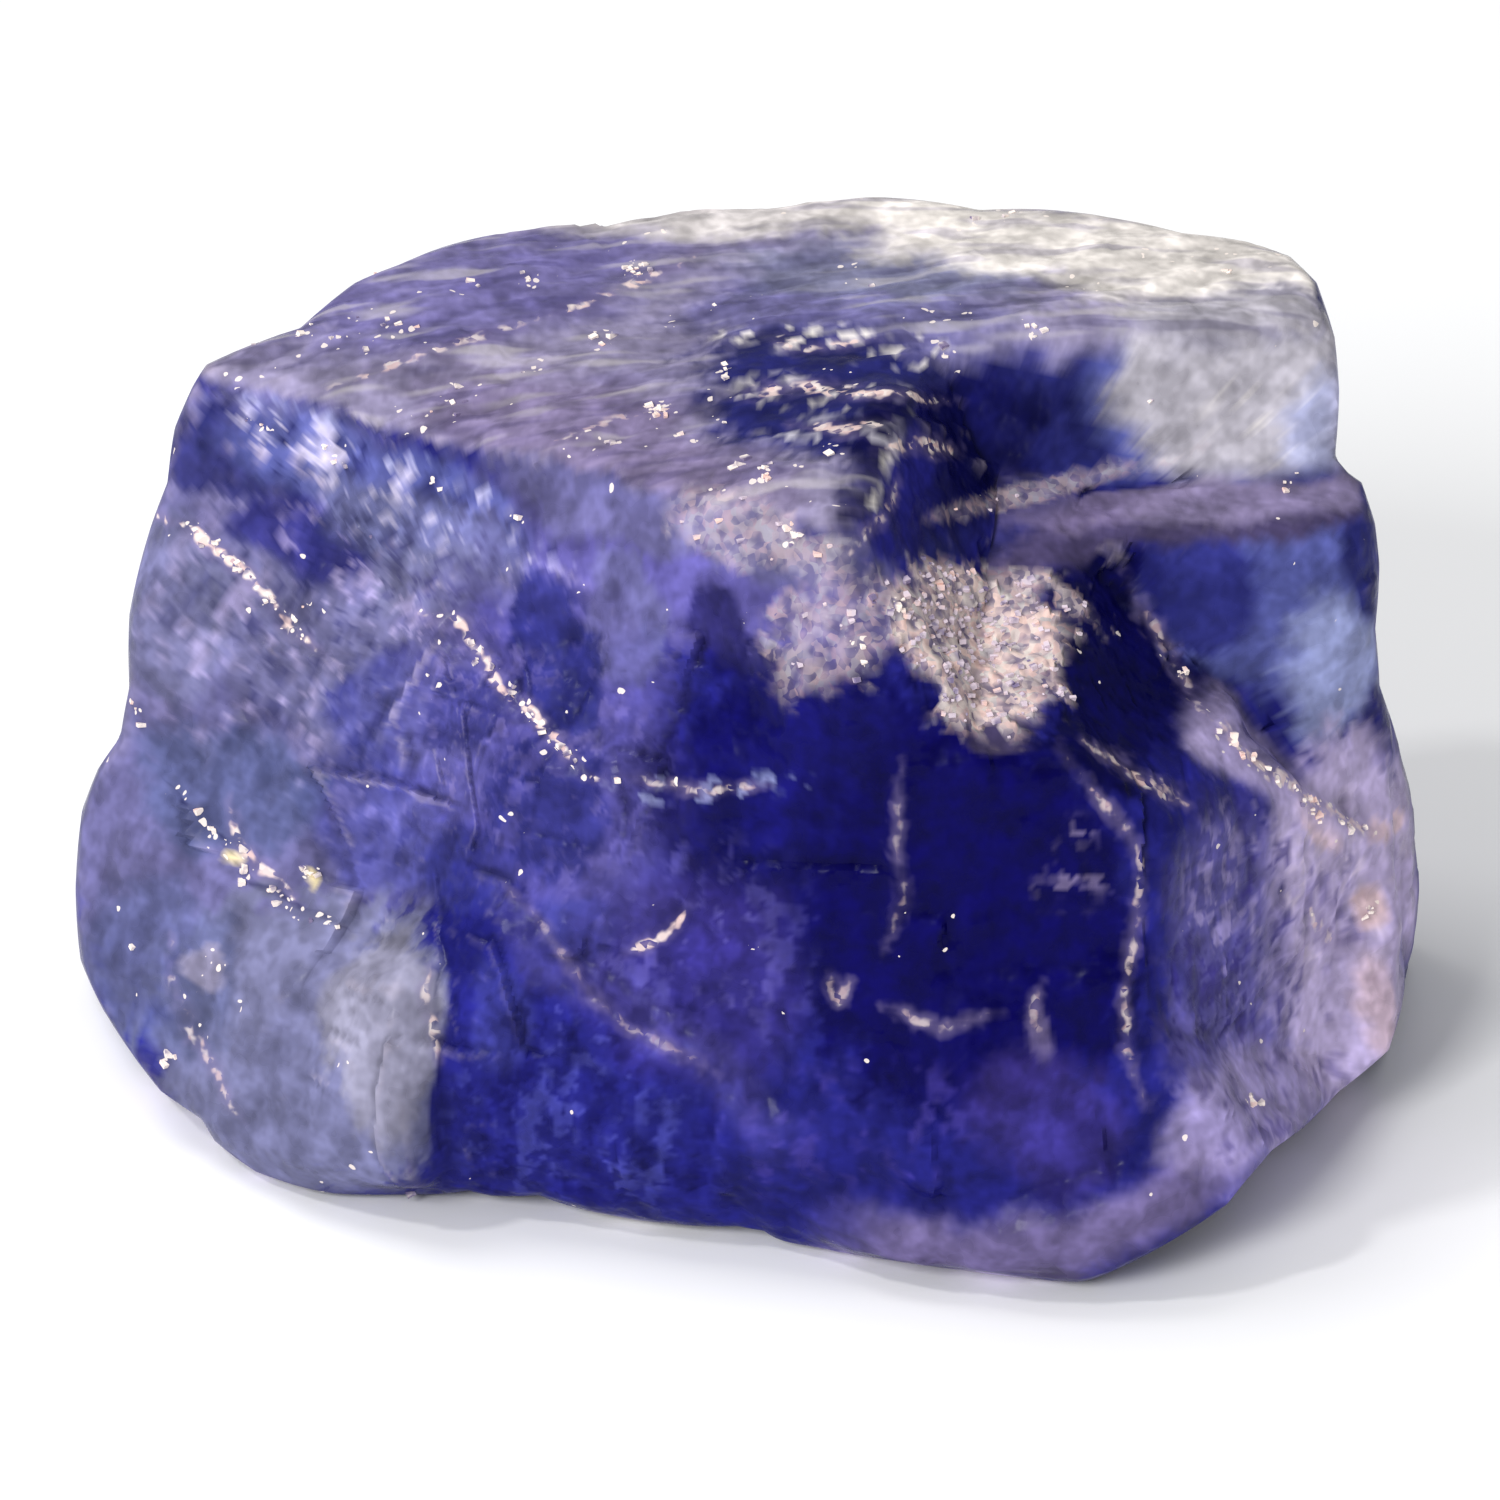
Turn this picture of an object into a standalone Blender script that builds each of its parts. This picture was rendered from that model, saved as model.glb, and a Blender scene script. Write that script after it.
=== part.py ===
"""Blue halite: one broken block of rock salt, with a ledge at its right end, lying on a flat cleavage face.

The block is designed in millimetres, and MM turns its finished points into the script's metres. X runs
across the front, Y goes away from the viewer and Z goes up. The origin is the middle of the box round
the stone, on the surface that it lies on.

The stone is made as a salt cleaver would break it: four overlapping blocks, each bounded by flat
facets, are worked out along rays from one point inside them, the girdle outline trims them, and
the fracture steps, ridges and hollows are raised on their faces.
"""

import itertools
import math
from typing import NamedTuple

import bmesh
import bpy
import numpy as np
from mathutils import Vector, noise

MM = 0.001

# The gridded block that the rays go through, the point that they start from, and the grid's step.
GRID_SIZE = (30.0, 20.0, 18.0)
GRID_STEP = 0.28
HEART = np.array((0.0, 1.0, 8.0))

# The girdle is the outline seen from the front, this far above the level and from this far away.
SIGHT_TILT = math.radians(28.0)
SIGHT_DISTANCE = 200.0
ACROSS = np.array((1.0, 0.0, 0.0))
UP_SIGHT = np.array((0.0, math.sin(SIGHT_TILT), math.cos(SIGHT_TILT)))
TO_VIEWER = np.array((0.0, -math.cos(SIGHT_TILT), math.sin(SIGHT_TILT)))

EDGE_SHARPNESS = 70.0
WEAR_PASSES = 3
TRIM_SOFTNESS = 0.12
FINISHED_TRIANGLES = 9000
CRYSTAL_TURN = math.radians(-24.0)
SALT_BLUE = (0.045, 0.035, 0.24, 1.0)


class Facet(NamedTuple):
    """A flat break. It faces bearing degrees round from the front, and leans back by lean degrees."""

    bearing: float
    lean: float
    through: tuple

    def normal(self):
        bearing, lean = math.radians(self.bearing), math.radians(self.lean)
        level = math.cos(lean)
        return np.array((math.sin(bearing) * level, -math.cos(bearing) * level, math.sin(lean)))


class Step(NamedTuple):
    """A fracture step on the front. The stone is raised on the right of the path, and falls off over reach."""

    path: tuple
    rise: float
    reach: float
    width: float = 0.3


class Ridge(NamedTuple):
    """A ridge, or a groove where height is negative, along a path on the front."""

    path: tuple
    height: float
    width: float


class Swell(NamedTuple):
    """A low mound, or a hollow where height is negative, round a point on the front."""

    centre: tuple
    radii: tuple
    height: float


BASE = Facet(0, -90, (0.0, 0.0, 0.0))
LEFT_FRONT = Facet(-35.6, 20.3, (2.7, -7.0, 17.0))
FRONT = Facet(-18, 7, (4.0, -9.9, 2.0))
LOW_FRONT = Facet(-15, -20, (0.0, -7.3, 0.0))
BROKEN_CORNER = Facet(18, 34, (3.1, -6.7, 15.6))
NEAR_END = Facet(8, 7, (5.0, -9.9, 0.5))
NEAR_LEDGE = Facet(4, 76, (5.0, -2.2, 14.2))
NEAR_LEDGE_SIDE = Facet(77, 44, (7.1, -1.9, 13.9))
SHOULDER = Facet(11, 19.4, (7.1, -1.9, 13.9))
RIGHT_FRONT = Facet(58, 4, (11.4, -4.4, 6.0))
LOW_RIGHT_FRONT = Facet(54, -24, (11.0, -4.6, 0.0))
RIGHT = Facet(95, 9, (15.2, 1.0, 4.6))
LOW_RIGHT = Facet(80, -22, (15.0, -1.0, 2.6))
LEFT = Facet(-80, 12, (-15.4, 1.5, 5.0))
LOW_LEFT = Facet(-75, -24, (-14.9, -1.0, 2.4))
LEDGE = Facet(10, 84, (9.0, 0.0, 14.3))
NOTCH_SIDE = Facet(78, 32, (3.3, -4.0, 16.3))
RISER = Facet(5, 18, (8.9, 0.4, 14.3))
TOP_LEFT = Facet(-62, 83, (2.7, -7.0, 17.0))
TOP_RIGHT = Facet(100, 88, (8.9, 1.5, 17.75))
TOP_END = Facet(90, 6, (13.4, 3.0, 15.0))
TOP_END_CORNER = Facet(70, 45, (12.7, 3.0, 17.1))
TOP_BACK = Facet(-172, 50, (-4.0, 8.6, 17.3))

LOW_BACK = Facet(176, -30, (0.0, 10.6, 1.6))
BACK = Facet(177, 10, (0.0, 10.6, 2.0))
BACK_BEVEL = Facet(168, 48, (4.0, 9.4, 11.0))
BACK_RIGHT = Facet(140, 6, (12.4, 7.0, 4.0))
BACK_LEFT = Facet(-146, 9, (-9.6, 8.2, 4.0))
BACK_UPPER = Facet(-176, 4, (0.0, 9.0, 13.0))
BACK_UPPER_RIGHT = Facet(152, 3, (10.2, 7.6, 13.0))
BACK_UPPER_LEFT = Facet(-134, 7, (-10.4, 6.2, 12.0))
BACK_END = Facet(-171, 7, (-2.0, 9.8, 8.0))
LEFT_SHELF = Facet(-112, 62, (-11.6, 5.0, 9.4))

LOWER_BLOCK = (
    BASE,
    LEFT_FRONT,
    FRONT,
    LOW_FRONT,
    NEAR_END,
    SHOULDER,
    RIGHT_FRONT,
    LOW_RIGHT_FRONT,
    RIGHT,
    LOW_RIGHT,
    LEDGE,
    LOW_BACK,
    BACK,
    BACK_BEVEL,
    BACK_RIGHT,
    BACK_LEFT,
    LEFT,
    LOW_LEFT,
    LEFT_SHELF,
)
NEAR_BLOCK = (
    BASE,
    LEFT_FRONT,
    FRONT,
    LOW_FRONT,
    NEAR_END,
    NEAR_LEDGE,
    NEAR_LEDGE_SIDE,
    RIGHT_FRONT,
    LOW_RIGHT_FRONT,
    RIGHT,
    LOW_RIGHT,
    LOW_BACK,
    BACK,
    BACK_RIGHT,
    BACK_LEFT,
    LEFT,
    LOW_LEFT,
)
UPPER_LEFT_BLOCK = (
    BASE,
    LEFT_FRONT,
    FRONT,
    LOW_FRONT,
    NEAR_END,
    BROKEN_CORNER,
    NOTCH_SIDE,
    TOP_LEFT,
    TOP_RIGHT,
    TOP_BACK,
    LOW_BACK,
    BACK_END,
    BACK_UPPER_RIGHT,
    BACK_UPPER_LEFT,
    LEFT,
    LOW_LEFT,
)
UPPER_RIGHT_BLOCK = (
    BASE,
    LEFT_FRONT,
    RISER,
    TOP_LEFT,
    TOP_RIGHT,
    TOP_END,
    TOP_END_CORNER,
    TOP_BACK,
    LOW_BACK,
    BACK_UPPER,
    BACK_UPPER_RIGHT,
    BACK_UPPER_LEFT,
    LEFT,
    LOW_LEFT,
)

# The girdle, clockwise from the top left corner: across, and up in the sight plane.
GIRDLE = (
    (-12.1, 15.8), (-10.0, 16.6), (-8.8, 17.6), (-7.8, 18.0), (-5.9, 18.7), (-3.6, 19.1), (-1.1, 19.4),
    (1.8, 19.5), (4.0, 19.4), (5.1, 19.2), (9.6, 18.7), (11.1, 18.5), (12.0, 18.2), (12.6, 17.6),
    (13.0, 16.4), (13.1, 15.2), (13.0, 13.75), (13.3, 13.4), (13.6, 13.2), (13.9, 12.3), (14.0, 11.4),
    (13.9, 10.0), (14.0, 8.7), (14.6, 6.9), (14.85, 5.8), (14.95, 4.7), (14.85, 3.4), (14.5, 1.6),
    (14.2, 0.7), (13.1, -0.2), (12.3, -1.0), (11.6, -1.5), (11.0, -2.2), (10.6, -2.7), (9.0, -3.7),
    (7.4, -4.45), (6.2, -4.55), (5.1, -4.7), (2.9, -4.2), (1.1, -3.95), (0.3, -3.3), (-0.3, -3.2),
    (-2.4, -3.2), (-4.7, -2.5), (-5.8, -2.55), (-6.3, -2.4), (-7.2, -2.6), (-9.3, -2.5), (-11.0, -2.0),
    (-11.9, -1.3), (-12.2, -0.8), (-13.1, -0.2), (-13.8, 0.7), (-14.4, 1.6), (-14.9, 2.7), (-15.0, 4.3),
    (-14.85, 6.0), (-14.5, 6.9), (-14.0, 7.6), (-13.8, 8.7), (-13.8, 10.3), (-13.3, 12.3),
    (-12.95, 13.2), (-12.8, 14.4), (-12.4, 15.3),
)

# Fracture steps on the front, each raised on the right of its path.
FRONT_STEPS = (
    Step(((-13.4, 12.5), (-11.9, 11.9), (-10.8, 10.7), (-9.5, 9.3)), 0.5, 2.8),
    Step(((-7.6, 10.4), (-6.6, 10.1), (-5.5, 8.8), (-4.2, 7.4), (-3.1, 6.4)), 0.45, 2.4),
    Step(((-13.6, 7.2), (-12.2, 5.8), (-11.3, 4.7), (-9.9, 3.7), (-8.2, 3.2)), 0.55, 2.8),
    Step(((-6.8, 3.2), (-6.95, 1.0), (-6.9, -2.4)), 0.8, 4.5),
    Step(((0.6, -2.6), (2.4, -2.5), (5.2, -3.0), (8.3, -2.0), (10.6, -0.9)), 0.7, 2.0),
    Step(((9.6, 8.7), (10.7, 7.4), (12.2, 6.3), (14.4, 5.1)), 0.4, 2.6),
    Step(((-6.4, 5.2), (-4.4, 2.8), (-1.5, 0.8), (1.9, -2.0)), 0.35, 1.8),
)
FRONT_RIDGES = (
    Ridge(((3.5, 7.2), (3.2, 5.2), (3.4, 4.0), (2.9, 2.7)), 0.22, 0.35),
    Ridge(((8.7, 11.6), (9.6, 9.8), (10.2, 7.6)), 0.18, 0.5),
    Ridge(((-9.8, 11.6), (-8.0, 11.0), (-7.2, 10.2)), -0.25, 0.4),
    Ridge(((-4.3, 10.4), (-3.4, 8.6), (-3.2, 7.0)), -0.3, 0.7),
)
FRONT_SWELLS = (
    Swell((-9.2, 0.6), (2.2, 2.4), 0.3),
    Swell((-12.6, 9.6), (1.6, 2.0), 0.3),
    Swell((12.2, 2.2), (2.0, 3.4), 0.35),
    Swell((11.6, 10.6), (1.8, 1.8), 0.25),
    Swell((-1.2, 8.4), (1.8, 1.6), -0.3),
    Swell((5.6, 3.2), (2.4, 2.6), -0.3),
)

# The worn terraces of the top face run this way round from X, and end in these rough treads.
TERRACE_TURN = math.radians(31.0)
TERRACE_PITCH = 1.7
TERRACE_RISE = 0.22
TREAD_CENTRE = (2.6, 14.6)
TREAD_RADII = (4.0, 2.4)
TREAD_PITCH = 0.85
TREAD_RISE = 0.24

# Blocks that cleavage leaves on every face: their size, and how far they stand proud or back.
CLEAVAGE_BLOCKS = ((6.1, 0.20), (2.9, 0.11))
CLEAVAGE_RAMP = 0.16
CLEAVAGE_ON_FRONT = 0.4
LUMPS = ((7.0, 0.35), (2.4, 0.16), (1.1, 0.06))
BASE_CALM = 1.2


def smooth_step(value):
    """0 below 0, 1 above 1, and a smooth rise between them."""
    share = np.clip(value, 0.0, 1.0)
    return share * share * (3.0 - 2.0 * share)


def gridded_block(size, step):
    """A box of quads about step across, centred on its own middle, as a bmesh."""
    block = bmesh.new()
    bmesh.ops.create_cube(block, size=1.0)
    for axis, length in enumerate(size):
        along = [e for e in block.edges if abs((e.verts[0].co - e.verts[1].co)[axis]) > 0.5]
        bmesh.ops.subdivide_edges(
            block, edges=along, cuts=max(1, round(length / step)) - 1, use_grid_fill=True
        )
    for vertex in block.verts:
        vertex.co = Vector([c * s for c, s in zip(vertex.co, size)])
    return block


def reach_of(facets, rays):
    """How far each unit ray from the heart goes before it leaves the block, its edges a little worn."""
    closeness = np.zeros(len(rays))
    for facet in facets:
        normal = facet.normal()
        clearance = normal @ (np.array(facet.through) - HEART)
        closeness += np.maximum(rays @ normal, 0.0) ** EDGE_SHARPNESS / clearance**EDGE_SHARPNESS
    return closeness ** (-1.0 / EDGE_SHARPNESS)


def worn(points, quads):
    """The points, each moved part of the way to the middle of its neighbours, which rounds the edges."""
    ends = np.concatenate([quads, np.roll(quads, 1, axis=1)])
    others = np.concatenate([np.roll(quads, 1, axis=1), quads])
    count = np.bincount(ends.ravel(), minlength=len(points))[:, None]
    for _ in range(WEAR_PASSES):
        total = np.zeros_like(points)
        np.add.at(total, ends.ravel(), points[others.ravel()])
        points = 0.5 * points + 0.5 * total / count
    return points


def normals_of(points, quads):
    """Unit normals at the points, from the quads round them."""
    corners = points[quads]
    faces = np.cross(corners[:, 2] - corners[:, 0], corners[:, 3] - corners[:, 1])
    normals = np.zeros_like(points)
    for corner in range(4):
        np.add.at(normals, quads[:, corner], faces)
    return normals / np.linalg.norm(normals, axis=1, keepdims=True)


def seen_from_front(points):
    """Where the points stand in the sight plane, across and up, and how near the viewer they are."""
    from_heart = points - HEART
    near = from_heart @ TO_VIEWER
    growth = SIGHT_DISTANCE / (SIGHT_DISTANCE - near)
    heart_up = HEART @ UP_SIGHT
    return (from_heart @ ACROSS) * growth, (from_heart @ UP_SIGHT) * growth + heart_up, near


def beside_path(across, up, path):
    """Distance to the path, positive on its right, and a share that fades to 0 at its two ends."""
    best = np.full(len(across), np.inf)
    side = np.zeros(len(across))
    place = np.zeros(len(across))
    legs = np.diff(np.array(path), axis=0)
    lengths = np.linalg.norm(legs, axis=1)
    starts = np.concatenate(([0.0], np.cumsum(lengths)))
    for (x0, y0), (dx, dy), length, start in zip(path, legs, lengths, starts):
        rx, ry = across - x0, up - y0
        share = np.clip((rx * dx + ry * dy) / length**2, 0.0, 1.0)
        distance = np.hypot(rx - share * dx, ry - share * dy)
        nearer = distance < best
        best = np.where(nearer, distance, best)
        side = np.where(nearer, np.sign(rx * dy - ry * dx), side)
        place = np.where(nearer, start + share * length, place)
    from_end = np.minimum(place, starts[-1] - place)
    return best * side, smooth_step(from_end / (0.22 * starts[-1]))


def front_relief(across, up):
    """Height of the fracture steps, ridges and swells of the front, over the plain facets."""
    relief = np.zeros(len(across))
    for step in FRONT_STEPS:
        aside, ends = beside_path(across, up, step.path)
        scarp = smooth_step(aside / step.width * 0.5 + 0.5)
        relief += step.rise * scarp * np.exp(-((np.maximum(aside, 0.0) / step.reach) ** 2)) * ends
    for ridge in FRONT_RIDGES:
        aside, ends = beside_path(across, up, ridge.path)
        relief += ridge.height * np.exp(-((aside / ridge.width) ** 2)) * ends
    for swell in FRONT_SWELLS:
        out = ((across - swell.centre[0]) / swell.radii[0]) ** 2
        out += ((up - swell.centre[1]) / swell.radii[1]) ** 2
        relief += swell.height * np.exp(-out)
    return relief


def terraces(distance, pitch):
    """A worn stair of unit height: long treads, each with a short rise at its end, centred on 0."""
    tread = distance / pitch
    return smooth_step((tread - np.floor(tread)) / 0.25) - (tread - np.floor(tread)) - 0.1


def noise_at(points, size):
    """Smooth noise from -1 to 1 whose lumps are about size across."""
    return np.array([noise.noise(Vector(p)) for p in points / size])


def cleavage_at(points, size):
    """A level from -1 to 1 for each crystal block of this size, with a short ramp to the next block's."""
    turn, lean = math.cos(CRYSTAL_TURN), math.sin(CRYSTAL_TURN)
    axes = np.array(((turn, -lean, 0.04), (lean, turn, 0.03), (-0.05, 0.02, 1.0)))
    cells = points @ axes.T / size
    corner = np.floor(cells)
    share = smooth_step((cells - corner - 1.0 + CLEAVAGE_RAMP) / CLEAVAGE_RAMP)
    level = np.zeros(len(points))
    for offset in itertools.product((0, 1), repeat=3):
        weight = np.prod(np.where(offset, share, 1.0 - share), axis=1)
        scatter = np.sin((corner + offset) @ (127.1, 311.7, 74.7)) * 43758.5453
        level += weight * np.modf(scatter)[0]
    return level


def relief_of(points, normals):
    """How far the surface stands out from the plain facets at each point."""
    across, up, _ = seen_from_front(points)
    facing = smooth_step((normals @ TO_VIEWER - 0.05) / 0.3)
    level = smooth_step((normals[:, 2] - 0.7) / 0.2)
    wall = 1.0 - level
    relief = front_relief(across, up) * facing * wall

    wander = noise_at(points, 4.0)
    along = -points[:, 0] * math.sin(TERRACE_TURN) + points[:, 1] * math.cos(TERRACE_TURN)
    relief += TERRACE_RISE * terraces(along + wander, TERRACE_PITCH) * level
    out = ((across - TREAD_CENTRE[0]) / TREAD_RADII[0]) ** 2 + ((up - TREAD_CENTRE[1]) / TREAD_RADII[1]) ** 2
    treads = terraces(-up + 0.35 * wander, TREAD_PITCH) * np.exp(-(out**2))
    relief += TREAD_RISE * treads * facing

    cleaved = np.zeros(len(points))
    warped = points + 0.5 * wander[:, None]
    for size, depth in CLEAVAGE_BLOCKS:
        cleaved += depth * cleavage_at(warped, size)
    relief += cleaved * (1.0 - (1.0 - CLEAVAGE_ON_FRONT) * np.maximum(facing, level))
    for size, height in LUMPS:
        relief += height * noise_at(points, size)
    return relief


def girdle_at(angle):
    """How far from the heart the girdle is, in the direction at this angle in the sight plane."""
    points = np.array(GIRDLE) - (0.0, HEART @ UP_SIGHT)
    angles = np.arctan2(points[:, 1], points[:, 0])
    order = np.argsort(angles)
    return np.interp(angle, angles[order], np.hypot(*points[order].T), period=2.0 * math.pi)


def trimmed_to_girdle(points):
    """The points, with each one that the viewer would see outside the girdle brought in to it."""
    across, up, near = seen_from_front(points)
    up = up - HEART @ UP_SIGHT
    out = np.hypot(across, up)
    room = girdle_at(np.arctan2(up, across))
    trim = (room - TRIM_SOFTNESS * np.logaddexp(0.0, (room - out) / TRIM_SOFTNESS)) / out
    shrink = (SIGHT_DISTANCE - near) / SIGHT_DISTANCE
    return (
        HEART
        + np.outer(across * trim * shrink, ACROSS)
        + np.outer(up * trim * shrink, UP_SIGHT)
        + np.outer(near, TO_VIEWER)
    )


def broken_block(points, quads):
    """The finished stone's points, in millimetres, from a gridded block's."""
    rays = points / np.linalg.norm(points, axis=1, keepdims=True)
    blocks = (LOWER_BLOCK, NEAR_BLOCK, UPPER_LEFT_BLOCK, UPPER_RIGHT_BLOCK)
    reach = np.max([reach_of(block, rays) for block in blocks], axis=0)
    faceted = worn(HEART + rays * reach[:, None], quads)
    normals = normals_of(faceted, quads)
    calm = smooth_step(faceted[:, 2] / BASE_CALM)
    stone = faceted + normals * (relief_of(faceted, normals) * calm)[:, None]
    stone = trimmed_to_girdle(stone)
    on_base = (faceted[:, 2] < 0.02) | (stone[:, 2] < 0.0)
    stone -= np.outer(np.where(on_base, stone[:, 2] / TO_VIEWER[2], 0.0), TO_VIEWER)
    return stone


def salt_material():
    """Deep violet-blue rock salt, part clear."""
    salt = bpy.data.materials.new("blue_salt")
    salt.use_nodes = True
    shader = salt.node_tree.nodes["Principled BSDF"]
    shader.inputs["Base Color"].default_value = SALT_BLUE
    shader.inputs["Roughness"].default_value = 0.3
    shader.inputs["Metallic"].default_value = 0.0
    shader.inputs["Transmission Weight"].default_value = 0.5
    shader.inputs["IOR"].default_value = 1.544
    return salt


def fewer_triangles(obj):
    """Thins the object's mesh to the finished count, which keeps its edges and spends least on its flats."""
    thin = obj.modifiers.new("thin", "DECIMATE")
    thin.use_collapse_triangulate = True
    thin.ratio = FINISHED_TRIANGLES / (2.0 * len(obj.data.polygons))
    bpy.context.view_layer.update()
    thinned = bpy.data.meshes.new_from_object(obj.evaluated_get(bpy.context.evaluated_depsgraph_get()))
    obj.modifiers.clear()
    obj.data = thinned


def stood_on_origin(mesh):
    """Moves the mesh so that its lowest face lies at Z 0 and its box is centred over the origin."""
    points = np.empty(len(mesh.vertices) * 3)
    mesh.vertices.foreach_get("co", points)
    points = points.reshape(-1, 3)
    low, high = points.min(axis=0), points.max(axis=0)
    points -= ((low[0] + high[0]) / 2.0, (low[1] + high[1]) / 2.0, low[2])
    points[points[:, 2] < 0.03 * MM, 2] = 0.0
    mesh.vertices.foreach_set("co", points.ravel())
    mesh.update()


def halite_block():
    """The whole stone, as one object."""
    grid = gridded_block(GRID_SIZE, GRID_STEP)
    mesh = bpy.data.meshes.new("halite_block")
    grid.to_mesh(mesh)
    grid.free()
    points = np.array([v.co for v in mesh.vertices])
    quads = np.array([p.vertices[:] for p in mesh.polygons])
    stone = broken_block(points, quads) * MM
    mesh.vertices.foreach_set("co", stone.ravel())
    mesh.update()
    obj = bpy.data.objects.new("halite_block", mesh)
    bpy.context.scene.collection.objects.link(obj)
    fewer_triangles(obj)
    stood_on_origin(obj.data)
    obj.data.materials.clear()
    obj.data.materials.append(salt_material())
    return obj


def clear_scene():
    """Removes whatever the file opened with."""
    for obj in list(bpy.data.objects):
        bpy.data.objects.remove(obj, do_unlink=True)


clear_scene()
halite_block()
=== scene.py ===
"""The finished look of the blue halite block: its broken surface, its colours and its salt grains.

Shapes are worked out in millimetres, with X across the front, Y away from the viewer and Z up, and are
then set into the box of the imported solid. Colours are laid on as seen from the front, in the sight plane:
millimetres across and millimetres up, square to the line of sight.
"""

from __future__ import annotations

import itertools
import logging
import math
from dataclasses import dataclass, field
from enum import Enum

import bpy
import numpy as np
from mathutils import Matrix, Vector

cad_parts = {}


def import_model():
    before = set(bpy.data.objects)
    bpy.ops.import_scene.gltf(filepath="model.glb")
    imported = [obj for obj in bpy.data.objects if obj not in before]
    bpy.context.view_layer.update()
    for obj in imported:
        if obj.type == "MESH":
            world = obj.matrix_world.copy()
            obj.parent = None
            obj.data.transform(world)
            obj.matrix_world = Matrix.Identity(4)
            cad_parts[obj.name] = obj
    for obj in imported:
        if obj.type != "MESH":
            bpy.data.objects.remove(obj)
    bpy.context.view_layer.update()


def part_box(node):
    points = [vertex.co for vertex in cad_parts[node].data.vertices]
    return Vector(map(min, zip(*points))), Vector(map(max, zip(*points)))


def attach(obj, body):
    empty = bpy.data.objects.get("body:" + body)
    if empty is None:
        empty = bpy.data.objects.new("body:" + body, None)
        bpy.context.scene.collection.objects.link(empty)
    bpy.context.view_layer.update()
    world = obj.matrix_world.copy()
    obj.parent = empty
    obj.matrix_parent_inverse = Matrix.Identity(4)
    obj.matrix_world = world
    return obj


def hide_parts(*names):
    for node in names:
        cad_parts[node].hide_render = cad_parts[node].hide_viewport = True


MM = 0.001
STONE_NODE = "halite_block"
BODY = "root"

Array = np.ndarray
Path = tuple[tuple[float, float], ...]
Triple = tuple[float, float, float]

log = logging.getLogger("halite")


def smooth_step(value: Array) -> Array:
    """Returns 0 for values up to 0 and 1 for values from 1, with a smooth rise between."""
    share = np.clip(value, 0.0, 1.0)
    return share * share * (3.0 - 2.0 * share)


# Numbers that turn a place into a value that looks random, and that set the noise's patterns apart.
HASH_DIRECTION = (127.1, 311.7, 74.7)
HASH_SEED_STEP = 17.3
HASH_SCALE = 43758.5453
LUMP_SHIFT = 31.7
FACET_SHIFT = 13.7
FLAKE_SHIFT = 23.1
LAYER_SHIFT = 9.1
SCATTER_SHIFT = 57.0

# How far a cell's point may lie from its middle, and how its facet slopes and steps, in cells.
JITTER = 0.4
FACET_SLOPE = 0.6
FACET_STEP = 0.3

# The height of layered noise before it is brought back to 1.
LAYERED_HEIGHT = 1.5


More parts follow.
